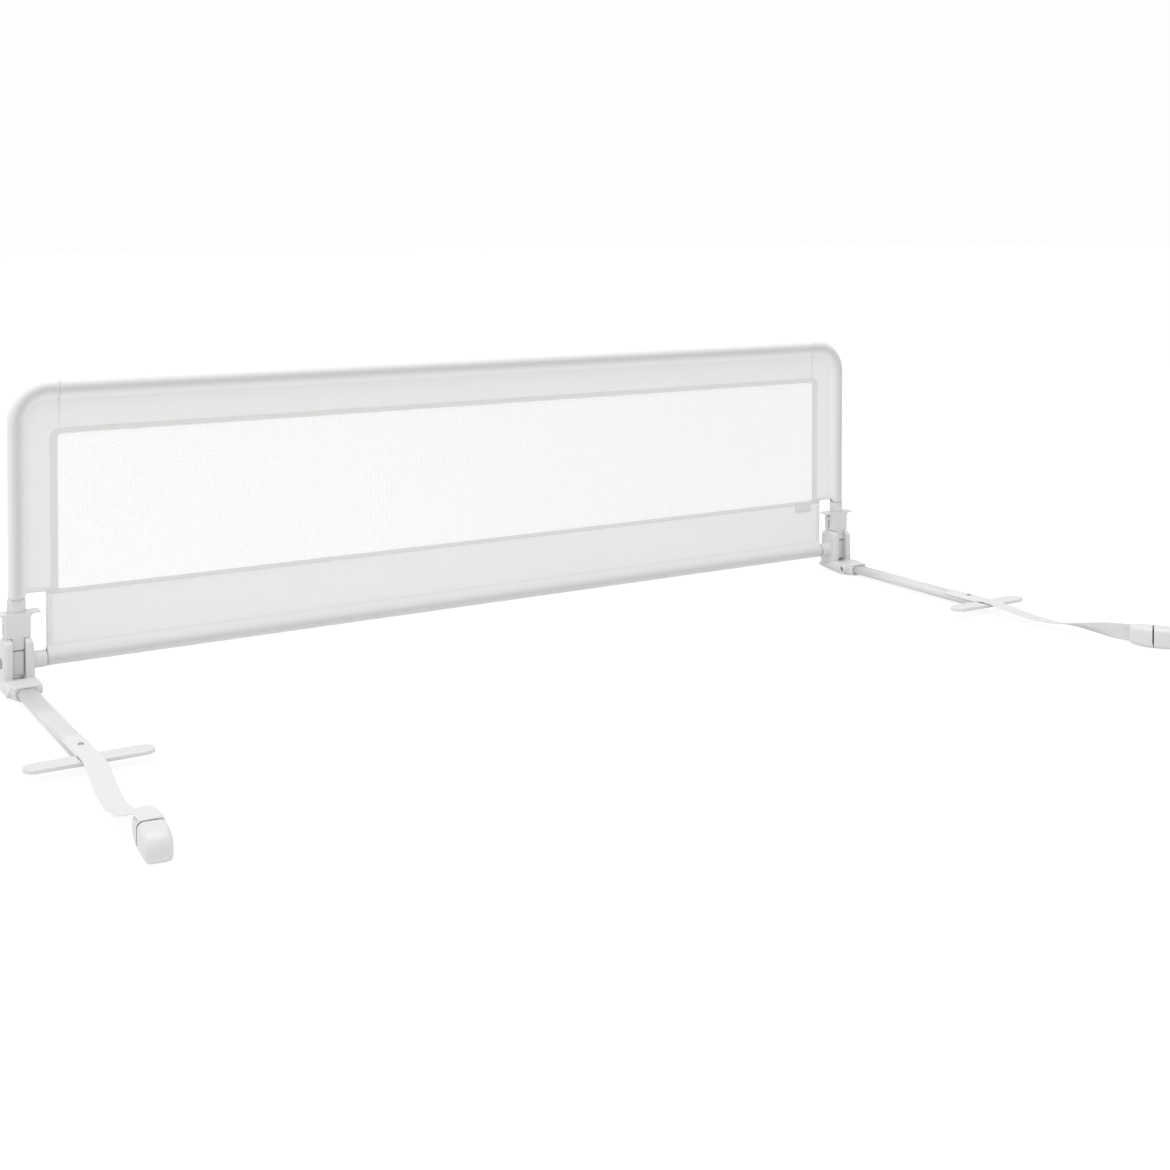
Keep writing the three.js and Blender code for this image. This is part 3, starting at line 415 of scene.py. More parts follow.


# The anchors: two moulded halves of white ABS that screw up on a core and pinch the webbing's end.
# The front half has a long drooping nose, and the rear half is short and rises to meet the strap.
# The core and a thin slab in the front of the slit are near black, so that the slit shows as a dark line.
# The core and the slit's lining are dark nylon, guessed from the dark line that the slit shows.
def rounded_rectangle(width, height, radius, x=0.0, y=0.0, steps=8):
    """Points round a rectangle with round corners, counter-clockwise."""
    points = []
    for right, up, start in ((1, -1, -90), (1, 1, 0), (-1, 1, 90), (-1, -1, 180)):
        for i in range(steps + 1):
            angle = math.radians(start + 90 * i / steps)
            across = x + right * (width / 2 - radius) + radius * math.cos(angle)
            high = y + up * (height / 2 - radius) + radius * math.sin(angle)
            points.append((across, high))
    return points


# Injection-moulded plastic: satin, with a spark-eroded grain of about 0.35 mm that breaks up the highlights,
# and a gloss that changes slowly where the melt has flowed.
GRAIN_MM = 0.35
FLOW_MM = 14.0


def moulded_plastic(name, hex_colour, roughness):
    made = material_with_shader(name, hex_colour, roughness, IOR=1.52)
    varied(made, GRAIN_MM, 2.0, relief=(0.03, 0.5))
    return varied(made, FLOW_MM, 3.0, gloss=(roughness - 0.06, roughness + 0.06))


white_abs = moulded_plastic("moulded white ABS", 0xD3D3D2, 0.4)
# Near black, for the anchor's core and the slab in its slit, so that the slit shows dark
near_black_slit = moulded_plastic("near-black slit fill", 0x0E0E0F, 0.7)

ANCHOR_WIDTH = 30.0
ANCHOR_HEIGHT = 30.0
ANCHOR_CORNER = 7.0
ANCHOR_REAR = 32.0
ANCHOR_FRONT = 38.0
STRAP_DIP = 12.0
STRAP_PLAY = 0.2
CORE_WIDTH = 17.0
CORE_HEIGHT = 8.0
CORE_LEVEL = -4.0
CORE_IN_FRONT = 4.8  # how deep the core sits in each half
CORE_IN_REAR = 6.8
SLIT_FILL_INSET = 0.25
LIP_ROUND = 0.5
NOSE_LENGTH = 0.7
NOSE_ROUND = 0.9
# Shares of the half's length, then of the half height above and below, and of the half width
front_shares = [
    (0, 1, 1, 1),
    (0.25, 0.99, 1, 1),
    (0.46, 0.96, 1, 1),
    (0.62, 0.88, 1, 0.99),
    (0.75, 0.74, 1, 0.98),
    (0.85, 0.54, 1, 0.96),
    (0.92, 0.3, 1, 0.94),
    (0.965, 0.02, 0.98, 0.91),
    (0.99, -0.36, 0.94, 0.87),
    (1, -0.7, 0.9, 0.82),
]
rear_shares = [
    (0, 1, 1, 1),
    (0.12, 1, 0.97, 1),
    (0.35, 1, 0.84, 1),
    (0.58, 0.97, 0.66, 0.98),
    (0.78, 0.9, 0.48, 0.94),
    (0.93, 0.76, 0.34, 0.87),
    (1, 0.6, 0.22, 0.78),
]


def anchor_half(name, shares, start, length, basis, side):
    """One half as rings along its axis, with a small round on the lip and on the nose's end."""
    shares = smooth_curve(shares, 40)
    first, last = shares[0], shares[-1]
    rings = []
    for turn in (0, 30, 60, 90):
        ahead, inset = 1 - math.cos(math.radians(turn)), 1 - math.sin(math.radians(turn))
        rings.append((first + [LIP_ROUND * ahead / abs(length), 0, 0, 0], LIP_ROUND * inset))
    rings += [(row, 0.0) for row in shares[2:]]
    for turn in (25, 45, 65, 82):
        ahead, inset = math.sin(math.radians(turn)), 1 - math.cos(math.radians(turn))
        rings.append((last + [NOSE_LENGTH * ahead / abs(length), 0, 0, 0], NOSE_ROUND * inset))
    points = []
    for (along, above, below, wide), inset in rings:
        high = above * ANCHOR_HEIGHT / 2 - inset
        low = -below * ANCHOR_HEIGHT / 2 + inset
        width = wide * ANCHOR_WIDTH - 2 * inset
        corner = min(ANCHOR_CORNER - 0.4 * inset, (high - low) / 2 - 0.05)
        for a, b in rounded_rectangle(width, high - low, corner, 0, (high + low) / 2):
            points.append(to_row(*(basis @ Vector((a, start + along * length, b))), side))
    count = len(rounded_rectangle(1, 1, 0.2))
    return outward(new_piece(name, points, skin_faces(len(rings), count)))


def anchor(end, side, route, axis, facing, slit):
    """Both halves of an anchor, placed so that the strap's end lies against the slit's rear face."""
    front, upper = Vector(axis).normalized(), Vector(facing).normalized()
    rear = -front
    across = rear.cross(upper)
    sunk = STRAP_DIP - ANCHOR_HEIGHT / 2
    centre = Vector(route[-1][:3]) + upper * sunk + front * (slit - STRAP_THICK - STRAP_PLAY) / 2
    basis = Matrix((across, rear, upper)).transposed().to_4x4()
    basis.translation = centre
    face = slit / 2
    rear_half = anchor_half(f"anchor_rear_half_{end}", rear_shares, face, ANCHOR_REAR, basis, side)
    front_half = anchor_half(f"anchor_front_half_{end}", front_shares, -face, -ANCHOR_FRONT, basis, side)
    core = rounded_rectangle(CORE_WIDTH, CORE_HEIGHT, 1.2, 0, CORE_LEVEL, 3)
    slit_fill = rounded_rectangle(
        ANCHOR_WIDTH - 2 * SLIT_FILL_INSET, ANCHOR_HEIGHT - 2 * SLIT_FILL_INSET, 6.7, 0, 0, 6
    )
    inner_parts = []
    for name, outline, near, far in (
        ("core", core, -face - CORE_IN_FRONT, face + CORE_IN_REAR),
        ("slit_fill", slit_fill, -face - 0.1, 0.1),
    ):
        points = [to_row(*(basis @ Vector((a, y, b))), side) for y in (near, far) for a, b in outline]
        part = outward(new_piece(f"anchor_{name}_{end}", points, skin_faces(2, len(outline))))
        part.data.materials.append(near_black_slit)
        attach(part, "base")
        inner_parts.append(part)
    finish_piece(rear_half, "base", white_abs, [f"anchor_rear_{end}"])
    finish_piece(front_half, "base", white_abs, [f"anchor_front_{end}"])
    return [rear_half, front_half, *inner_parts]


for end, side, route, axis, facing, slit in (
    ("left", -1, left_route, (0.1, -1, 0), (0, 0, 1), 4.4),
    ("right", 1, right_route, (0.62, -0.785, 0), (0.785, 0.62, 0), 1.9),
):
    piece, line, length = straps[end]
    halves = anchor(end, side, route, axis, facing, slit)
    finish_piece(piece, "base", webbing, [f"strap_{end}"])


# The arms: flat oval steel tube, 26 by 13 mm, from the hinge base to the cross foot that closes its end.
# Both are powder coated white, sprayed dry and baked, so the skin shows a faint orange peel.
PEEL_MM = 1.6
white_powder = varied(
    material_with_shader("white powder coat on steel", 0xD0D0CF, 0.34, IOR=1.5),
    PEEL_MM,
    1.0,
    gloss=(0.29, 0.39),
    relief=(0.05, 0.35),
)

ARM_WIDTH = 26.0
ARM_HEIGHT = 13.0
ARM_WALL = 1.2
ARM_LEVEL = -27.5
ARM_NEAR = -24.4
ARM_FAR = -352.0
OVAL_STEPS = 14
RIM_WIDTH = 29.0
RIM_HEIGHT = 16.0
RIM_WALL = 1.45
RIM_NEAR = -60.2
RIM_FAR = -61.9


def mirrored(piece, name):
    """The same piece for the left end, mirrored about the middle of the rail."""
    mesh = piece.data.copy()
    mesh.transform(Matrix.Diagonal((-1, 1, 1, 1)))
    mesh.flip_normals()
    twin = bpy.data.objects.new(name, mesh)
    bpy.context.scene.collection.objects.link(twin)
    return twin


def tube_along_y(name, width, height, wall, level, near, far):
    """A flat oval tube along Y: outer skin, bore and the two cut ends."""
    outer = rounded_rectangle(width, height, height / 2, 0, level, OVAL_STEPS)
    inner = rounded_rectangle(width - 2 * wall, height - 2 * wall, height / 2 - wall, 0, level, OVAL_STEPS)
    count = len(outer)
    rings = [(outer, near), (outer, far), (inner, far), (inner, near)]
    points = [to_row(x, y, z) for ring, y in rings for x, z in ring]
    faces = skin_faces(4, count, capped=False)
    faces += [(3 * count + j, 3 * count + (j + 1) % count, (j + 1) % count, j) for j in range(count)]
    return outward(new_piece(name, points, faces))


def both_ends(piece, name, body, material, node=None):
    """Names a right-hand piece, mirrors it for the left end and finishes both; body may hold {end}."""
    piece.name = f"{name}_right"
    piece.data.name = piece.name
    twin = mirrored(piece, f"{name}_left")
    for end, one in (("right", piece), ("left", twin)):
        finish_piece(one, body.format(end=end), material, [f"{node}_{end}"] if node else [])
    return piece, twin


arm = tube_along_y("arm_tube", ARM_WIDTH, ARM_HEIGHT, ARM_WALL, ARM_LEVEL, ARM_NEAR, ARM_FAR)
both_ends(arm, "arm_tube", "base", white_powder, "arm")
lip = tube_along_y("socket_lip", RIM_WIDTH, RIM_HEIGHT, RIM_WALL, ARM_LEVEL, RIM_NEAR, RIM_FAR)
both_ends(lip, "socket_lip", "base", white_abs)


# The cross feet: moulded ABS plates, 150 by 28 mm with round ends, that spread the load under the mattress.
# A hub with the arm's own outline closes the arm's end, level with the plate beyond it.
def prism(axis, outline, low, high):
    """A closed solid: a flat outline pushed along an axis of the hinge, in millimetres from the fold axis."""
    points = []
    for along in (low, high):
        for a, b in outline:
            points.append(to_row(*{"X": (along, a, b), "Y": (a, along, b), "Z": (a, b, along)}[axis]))
    return outward(new_piece("prism", points, skin_faces(2, len(outline))))


def turned(profile, y=0.0, z=0.0, steps=48):
    """A closed turned solid about X, from a profile of (radius, x) pairs, with flat ends."""
    points = []
    for radius, x in profile:
        for j in range(steps):
            angle = 2 * math.pi * j / steps
            points.append(to_row(x, y + radius * math.cos(angle), z + radius * math.sin(angle)))
    return outward(new_piece("turned", points, skin_faces(len(profile), steps)))


def rounded_edges(piece, width):
    """Rounds every edge sharper than 35 degrees."""
    bevel = piece.modifiers.new("round", "BEVEL")
    bevel.width = width * MM
    bevel.segments = 4
    bevel.limit_method = "ANGLE"
    bevel.angle_limit = math.radians(35)
    return plain(piece)


def plain(piece):
    """Applies the piece's modifiers to its mesh."""
    seen = piece.evaluated_get(bpy.context.evaluated_depsgraph_get())
    mesh = bpy.data.meshes.new_from_object(seen)
    piece.modifiers.clear()
    piece.data = mesh
    return piece


def moulded(parts, cuts=(), grain=0.5, melt=6, keep=0.3):
    """Fuses and cuts closed solids, skins them anew at one grain size and melts the edges to mould radii."""
    base = parts[0]
    for others, operation in ((parts[1:], "UNION"), (cuts, "DIFFERENCE")):
        for other in others:
            step = base.modifiers.new("fit", "BOOLEAN")
            step.object = other
            step.operation = operation
            step.solver = "MANIFOLD"
    plain(base)
    skin = base.modifiers.new("skin", "REMESH")
    skin.mode = "VOXEL"
    skin.voxel_size = grain * MM
    soft = base.modifiers.new("melt", "SMOOTH")
    soft.factor = 0.5
    soft.iterations = melt
    thin = base.modifiers.new("thin", "DECIMATE")
    thin.ratio = keep
    plain(base)
    base.data.polygons.foreach_set("use_smooth", [True] * len(base.data.polygons))
    for other in [*parts[1:], *cuts]:
        bpy.data.objects.remove(other)
    return base


FOOT_REACH = -370.0
FOOT_LENGTH = 150.0
FOOT_WIDTH = 28.0
FOOT_THICK = 5.0
FOOT_TOP = -22.8
HUB_FAR = -364.0
HUB_NEAR = -352.3
CUT_HALF = 20.0  # half width of a cut that goes right through
foot_plate = prism(
    "Z",
    rounded_rectangle(FOOT_LENGTH, FOOT_WIDTH, FOOT_WIDTH / 2, 0, FOOT_REACH, 20),
    FOOT_TOP - FOOT_THICK,
    FOOT_TOP,
)
arm_oval = rounded_rectangle(ARM_WIDTH, ARM_HEIGHT, ARM_HEIGHT / 2, 0, ARM_LEVEL, OVAL_STEPS)
foot_hub = prism("Y", arm_oval, HUB_FAR, HUB_NEAR)
# Two cuts level the hub's end with the plate and slope its underside.
hub_top = prism("X", [(-372, FOOT_TOP), (-362, FOOT_TOP), (-362, -18), (-372, -18)], -CUT_HALF, CUT_HALF)
hub_slope = prism("X", [(-368, -36), (-360, -36), (-368, -28)], -CUT_HALF, CUT_HALF)
foot = moulded([rounded_edges(foot_plate, 1.9), foot_hub], [hub_top, hub_slope], grain=0.6, melt=3, keep=0.25)
both_ends(foot, "cross_foot_plate", "base", white_abs, "cross_foot")


# The hinge bases: moulded ABS blocks with two cheeks that take the post foot between them, like a fork.
# The arm's socket is in front, with a cross boss for its screw, and the bottom tube's stub points inwards.
CHEEK_GAP = 17.0
CHEEK_THICK = 13.0
CHEEK_RADIUS = 35.0
CHEEK_HALF_DEPTH = 19.5
CHEEK_FOOT = -29.0
CHEEK_CORNER = 6.0
CHEEK_LEAN = 3.6  # the outer faces lean in by this much at the top
INNER_ROUND = 1.6
OUTER_ROUND = 6.2
CHEEK_INNER = CHEEK_GAP / 2
CHEEK_OUTER = CHEEK_INNER + CHEEK_THICK
STUB_RADIUS = 11.5
STUB_END = -37.9
BOSS_RADIUS = 7.5
BOSS_HALF = 23.0
BOSS_Y = -42.5
BOSS_Z = -27.8
SOCKET_NEAR = -24.0
SOCKET_FACE = -62.0
SOCKET_WIDTH = 26.6
SOCKET_HEIGHT = 13.6
PIN_BORE = 4.3
PIN_SEAT = 18.8  # the pivot pin's head sits from here outwards
HEAD_BORE = 6.8
SCREW_ROOM = 4.2
SCREW_BORE = 2.3
SCREW_SEAT = -19.4
EDGE_STEP = 2.5
# Rows of the block from rear to front: y, half width, top and underside
block_rows = [
    (20, 21.5, -25, -30),
    (17, 24.5, -25, -31.2),
    (11, 24.5, -22.5, -32.2),
    (-3, 24.5, -21.25, -34.8),
    (-19.8, 24.5, -20, -36.8),
    (-22.3, 24.5, -18.2, -37.2),
    (-33.3, 23.25, -18.2, -38),
    (-50, 18.25, -18.2, -38),
    (SOCKET_FACE, 15.8, -18.2, -36.8),
]


def hinge_block():
    """The block under the cheeks: a loft whose shoulders step in to the cheeks' width."""
    points = []
    for y, half, top, low in block_rows:
        shoulder = min(half, CHEEK_OUTER)
        flare = (half - shoulder) * 1.4 + EDGE_STEP
        edge = EDGE_STEP * min(1, (top - low) / (3.4 * EDGE_STEP + flare + 0.3))
        flank = [
            (half - 2.6 * edge, low),
            (half - 0.9 * edge, low + 1.4 * edge),
            (half, low + 3.4 * edge),
            (half, top - flare * edge / EDGE_STEP),
            (shoulder, top - edge / 3),
            (shoulder - edge / 2, top),
        ]
        points += [to_row(x, y, z) for x, z in flank + [(-x, z) for x, z in flank[::-1]]]
    return outward(new_piece("block", points, skin_faces(len(block_rows), 12)))


def arc(radius, start, end, steps, x=0.0, y=0.0):
    """Points on a circle from one angle to another, in degrees."""
    angles = [math.radians(start + (end - start) * i / steps) for i in range(steps + 1)]
    return [(x + radius * math.cos(a), y + radius * math.sin(a)) for a in angles]


def cheek(side):
    """A cheek, domed round the fold axis: a stack of outlines that shrink towards its two faces."""
    stack = []
    for size, face, way in ((INNER_ROUND, CHEEK_INNER, 1), (OUTER_ROUND, CHEEK_OUTER, -1)):
        turns = [math.radians(turn) for turn in range(0, 91, 15)]
        rounding = [(face + way * size * (1 - math.cos(t)), size * (1 - math.sin(t))) for t in turns]
        stack += rounding[::way]
    points = []
    for x, inset in stack:
        half, radius = CHEEK_HALF_DEPTH - inset, CHEEK_RADIUS - inset
        corner = CHEEK_CORNER - 0.7 * inset
        rise = math.sqrt((radius - corner) ** 2 - (half - corner) ** 2)
        turn = math.degrees(math.atan2(rise, half - corner))
        outline = [(half, CHEEK_FOOT), *arc(corner, 0, turn, 8, half - corner, rise)]
        outline += arc(radius, turn, 180 - turn, 20)[1:-1]
        outline += [*arc(corner, 180 - turn, 180, 8, corner - half, rise), (-half, CHEEK_FOOT)]
        thick = (x - CHEEK_INNER) / CHEEK_THICK
        for y, z in outline:
            lean = CHEEK_LEAN * thick * min(max(z / CHEEK_RADIUS, 0), 1) ** 1.5
            points.append(to_row(side * (x - lean), y, z))
    return outward(new_piece("cheek", points, skin_faces(len(stack), len(outline))))


stub_edge = [
    (STUB_RADIUS - 1.2, STUB_END), (STUB_RADIUS - 0.4, STUB_END + 0.3), (STUB_RADIUS, STUB_END + 1.1)
]
stub = turned([*stub_edge, (STUB_RADIUS, 2 - CHEEK_OUTER)])
boss_ends = [
    (BOSS_RADIUS - 1.2, BOSS_HALF), (BOSS_RADIUS - 0.3, BOSS_HALF - 0.4), (BOSS_RADIUS, BOSS_HALF - 1.2)
]
boss = turned([(r, -x) for r, x in boss_ends] + boss_ends[::-1], BOSS_Y, BOSS_Z)
socket_oval = rounded_rectangle(SOCKET_WIDTH, SOCKET_HEIGHT, SOCKET_HEIGHT / 2, 0, ARM_LEVEL, OVAL_STEPS)
socket = prism("Y", socket_oval, SOCKET_FACE - 2, SOCKET_NEAR)
tube_bore = turned([(9.8, STUB_END - 2), (9.8, 0.3 - CHEEK_OUTER)])
pin_bore = turned(
    [(PIN_BORE, -15.0), (PIN_BORE, PIN_SEAT), (HEAD_BORE, PIN_SEAT), (HEAD_BORE, CHEEK_OUTER + 2)]
)
screw_bore = turned(
    [(SCREW_ROOM, -BOSS_HALF - 2), (SCREW_ROOM, SCREW_SEAT), (SCREW_BORE, SCREW_SEAT), (SCREW_BORE, 18.3)],
    BOSS_Y,
    BOSS_Z,
)
# A small slot in the inner flank drains the socket.
vent = prism("X", rounded_rectangle(2.4, 5.5, 0.8, -53.6, -28.5, 3), -20, -15.6)
hinge_base = moulded(
    [hinge_block(), cheek(-1), cheek(1), stub, boss],
    [socket, tube_bore, pin_bore, screw_bore, vent],
    grain=0.6,
    melt=7,
    keep=0.25,
)
both_ends(hinge_base, "hinge_fork", "base", white_abs, "hinge_base")


# Screws and pins: zinc-plated steel, cold headed and rolled, then tumbled to a dull bright grey.
# Each screw has a low domed head with a cross recess; the pivot pin has a plain flat one.
ZINC_GRAIN_MM = 0.8
zinc = varied(
    material_with_shader("zinc-plated steel", 0x9FA1A3, 0.36, Metallic=1.0),
    ZINC_GRAIN_MM,
    4.0,
    gloss=(0.26, 0.5),
)


def growing_tree(name, inputs):
    """A Geometry Nodes tree with the geometry, these inputs and a material given, and geometry handed out."""
    tree = bpy.data.node_groups.new(name, "GeometryNodeTree")
    for label, kind in [("Geometry", "Geometry"), *inputs, ("Material", "Material")]:
        tree.interface.new_socket(label, in_out="INPUT", socket_type=f"NodeSocket{kind}")
    tree.interface.new_socket("Geometry", in_out="OUTPUT", socket_type="NodeSocketGeometry")
    return tree, add_node(tree, "NodeGroupInput")


def hand_out(tree, given, instances):
    """Ends a growing tree with the instances as one mesh in the given material."""
    real = add_node(tree, "GeometryNodeRealizeInstances", [("Geometry", instances)])
    coated = add_node(
        tree,
        "GeometryNodeSetMaterial",
        [("Geometry", real.outputs[0]), ("Material", given.outputs["Material"])],
    )
    add_node(tree, "NodeGroupOutput", [("Geometry", coated.outputs[0])])
    return tree


def screw_tree():
    """Geometry Nodes that set a cross-head screw on every point of the mesh, its head towards Direction."""
    labels = ("Head Radius", "Head Height", "Shank Radius", "Shank Length", "Recess")
    sizes = [(label, "Float") for label in labels]
    tree, given = growing_tree("cross-head screw", [("Direction", "Vector"), *sizes])
    head_radius, head_height = given.outputs["Head Radius"], given.outputs["Head Height"]

    def times(value, factor):
        return add_node(tree, "ShaderNodeMath", [(0, value), (1, factor)], operation="MULTIPLY").outputs[0]

    def lifted(mesh, height):
        offset = add_node(tree, "ShaderNodeCombineXYZ", [("Z", height)])
        moved = add_node(
            tree, "GeometryNodeTransform", [("Geometry", mesh), ("Translation", offset.outputs[0])]
        )
        return moved.outputs[0]

    dome = add_node(
        tree,
        "GeometryNodeMeshCone",
        [
            ("Vertices", 32),
            ("Side Segments", 1),
            ("Radius Top", times(head_radius, 0.72)),
            ("Radius Bottom", head_radius),
            ("Depth", times(head_height, 0.45)),
        ],
    )
    rim = add_node(
        tree,
        "GeometryNodeMeshCylinder",
        [("Vertices", 32), ("Radius", head_radius), ("Depth", times(head_height, 0.55))],
    )
    shank = add_node(
        tree,
        "GeometryNodeMeshCylinder",
        [
            ("Vertices", 20),
            ("Radius", given.outputs["Shank Radius"]),
            ("Depth", given.outputs["Shank Length"]),
        ],
    )
    bars = []
    for wide, long in (("X", "Y"), ("Y", "X")):
        size = add_node(
            tree,
            "ShaderNodeCombineXYZ",
            [
                (wide, given.outputs["Recess"]),
                (long, times(given.outputs["Recess"], 0.28)),
                ("Z", head_height),
            ],
        )
        bar = add_node(tree, "GeometryNodeMeshCube", [("Size", size.outputs[0])])
        bars.append(lifted(bar.outputs[0], times(head_height, 0.85)))
    body = add_node(tree, "GeometryNodeJoinGeometry")
    tree.links.new(lifted(shank.outputs[0], times(given.outputs["Shank Length"], -0.5)), body.inputs[0])
    cap = add_node(tree, "GeometryNodeMeshBoolean", operation="UNION", solver="EXACT")
    tree.links.new(lifted(rim.outputs[0], times(head_height, 0.275)), cap.inputs["Mesh 2"])
    tree.links.new(lifted(dome.outputs[0], times(head_height, 0.54)), cap.inputs["Mesh 2"])
    cross = add_node(
        tree, "GeometryNodeMeshBoolean", [("Mesh 1", cap.outputs[0])], operation="DIFFERENCE", solver="EXACT"
    )
    for bar in bars:
        tree.links.new(bar, cross.inputs["Mesh 2"])
    tree.links.new(cross.outputs[0], body.inputs[0])
    turn = add_node(
        tree, "FunctionNodeAlignRotationToVector", [("Vector", given.outputs["Direction"])], axis="Z"
    )
    places = add_node(tree, "GeometryNodeMeshToPoints", [("Mesh", given.outputs["Geometry"])])
    set_out = add_node(
        tree,
        "GeometryNodeInstanceOnPoints",
        [("Points", places.outputs[0]), ("Instance", body.outputs[0]), ("Rotation", turn.outputs[0])],
    )
    return hand_out(tree, given, set_out.outputs[0])


def grown(name, tree, points=(), edges=(), **inputs):
    """Runs a node tree on points and edges in metres and keeps the result as a plain mesh piece."""
    seed = new_piece(name + "_seed", points, [])
    if edges:
        seed.data.clear_geometry()
        seed.data.from_pydata([tuple(p) for p in points], edges, [])
    modifier = seed.modifiers.new("grow", "NODES")
    modifier.node_group = tree
    sockets = {item.name: item.identifier for item in tree.interface.items_tree if item.in_out == "INPUT"}
    for key, value in inputs.items():
        modifier[sockets[key.replace("_", " ")]] = value
    seed.update_tag()
    seen = seed.evaluated_get(bpy.context.evaluated_depsgraph_get())
    mesh = bpy.data.meshes.new_from_object(seen)
    bpy.data.objects.remove(seed)
    piece = bpy.data.objects.new(name, mesh)
    bpy.context.scene.collection.objects.link(piece)
    return piece


screw_nodes = screw_tree()
# The foot screw goes through the webbing, and the slider's screw sits in its ring.
FOOT_SCREW_Y = -330.0
STRAP_TOP = STRAP_LEVEL + STRAP_THICK / 2
SLIDER_SCREW_Z = 59.4
slider_ring = (-14.2, 0, SLIDER_SCREW_Z)
screws = [
    # node, body, place, direction, then head radius and height, shank radius and length, recess
    ("arm_screw", "base", (-19.6, BOSS_Y, BOSS_Z), (-1, 0, 0), (3.6, 2.2, 2.0, 37.4, 3.6)),
    ("foot_screw", "base", (0, FOOT_SCREW_Y, STRAP_TOP + 0.1), (0, 0, 1), (3.4, 1.3, 2.0, 11.0, 3.4)),
    ("slider_screw", "slider_{end}", slider_ring, (-1, 0, 0), (2.0, 1.4, 1.0, 1.0, 2.2)),
]
for node, body, spot, direction, (head, high, shank, long, recess) in screws:
    piece = grown(
        f"{node}_head",
        screw_nodes,
        [to_row(*spot)],
        Direction=direction,
        Head_Radius=head * MM,
        Head_Height=high * MM,
        Shank_Radius=shank * MM,
        Shank_Length=long * MM,
        Recess=recess * MM,
        Material=zinc,
    )
    both_ends(piece, f"{node}_head", body, zinc, node)

PIN_RADIUS = 4.0
PIN_HEAD = 6.5
PIN_END = -14.7
PIN_NECK = 19.1  # the head's underside
shank = [(PIN_RADIUS - 0.4, PIN_END), (PIN_RADIUS, PIN_END + 0.4), (PIN_RADIUS, PIN_NECK)]
pivot = turned([*shank, (PIN_HEAD, PIN_NECK), (PIN_HEAD, CHEEK_OUTER - 0.5), (PIN_HEAD - 0.9, CHEEK_OUTER)])
pivot.data.polygons.foreach_set("use_smooth", [False] * len(pivot.data.polygons))
both_ends(pivot, "pivot_pin_turned", "base", zinc, "pivot_pin")


# The post feet: moulded white ABS. A round tongue turns on the pivot pin between the cheeks,
# and a stem with a pocket for the return spring leads to an oval neck that plugs into the post.
TONGUE_RADIUS = 18.6
TONGUE_HALF_DEPTH = 9.8  # flats on its front and rear
TONGUE_WIDE = 8.0  # half of its width
TONGUE_SHIFT = 0.2  # towards the outer cheek
STEM_HALF = 7.5
STEM_HALF_DEPTH = 6.0
STEM_LOW = 8.7
STEM_TOP = 62.0
POCKET_LOW = 19.2
POCKET_TOP = 48.0
CROSS_PIN_Z = 51.45
NECK_WIDTH = 24.0
NECK_DEPTH = 17.0
NECK_LOW = 60.7
NECK_TOP = 85.0
SPIGOT_TOP = 117.0
disc = [(max(-TONGUE_HALF_DEPTH, min(TONGUE_HALF_DEPTH, y)), z) for y, z in arc(TONGUE_RADIUS, 0, 354, 59)]
tongue = rounded_edges(prism("X", disc, TONGUE_SHIFT - TONGUE_WIDE, TONGUE_SHIFT + TONGUE_WIDE), 0.8)
stem = prism("Z", rounded_rectangle(2 * STEM_HALF, 2 * STEM_HALF_DEPTH, 1.2, 0, 0, 4), STEM_LOW, STEM_TOP)
neck_oval = rounded_rectangle(NECK_WIDTH, NECK_DEPTH, 8.4, 0, 0, 16)
neck = rounded_edges(prism("Z", neck_oval, NECK_LOW, NECK_TOP), 1.4)
spigot = prism("Z", arc(8.2, 0, 352.5, 47), NECK_TOP - 2, SPIGOT_TOP)
pocket = prism("Z", rounded_rectangle(9.2, 40, 1, 0, 0, 3), POCKET_LOW, POCKET_TOP)
pivot_bore = turned([(PIN_BORE, -10), (PIN_BORE, 10)])
cross_bore = turned([(1.6, -10), (1.6, 10)], 0, CROSS_PIN_Z, 24)
post_foot = moulded(
    [tongue, stem, neck, spigot], [pocket, pivot_bore, cross_bore], grain=0.5, melt=4, keep=0.3
)
both_ends(post_foot, "post_foot_moulding", "rail", white_abs, "post_foot")


# The sliders: ABS sleeves that ride up the stems when both wings are pulled, against a spring.
# Two lips reach down between the cheeks, and a rimmed slot on each side runs over a cross pin.
SLIDER_HALF = 16.5
SLIDER_HALF_DEPTH = 11.0
SLIDER_TOP = 67.0
SLIDER_SHOULDER = 33.6
WING_HALF_SPAN = 30.4
WING_THICK = 1.9
WING_FILLET = 6.0
LIP_HALF = 8.0
LIP_LOW = 18.0
SLOT_MIDDLE = 45.45
SLOT_HEIGHT = 14.9
SLOT_WIDTH = 3.2
RING_FACE = -17.2  # the slot's rim and the screw's ring stand out to here from the inner face
RING_ROOT = -15.9
ROOM = 0.6  # play across the neck and the stem, 0.3 mm on each side


def slider_front():
    """The slider seen from the front: wings with a fillet under each, shoulders and lips."""
    under = SLIDER_TOP - WING_THICK
    fillet = arc(WING_FILLET, 90, 180, 10, SLIDER_HALF + WING_FILLET, under - WING_FILLET)
    shoulder = arc(3.0, 0, -90, 6, SLIDER_HALF - 3.0, SLIDER_SHOULDER + 3.0)
    right = [(WING_HALF_SPAN, SLIDER_TOP), (WING_HALF_SPAN, under), *fillet, *shoulder]
    right += [(LIP_HALF, SLIDER_SHOULDER), (LIP_HALF, LIP_LOW)]
    return right + [(-x, z) for x, z in right[::-1]]


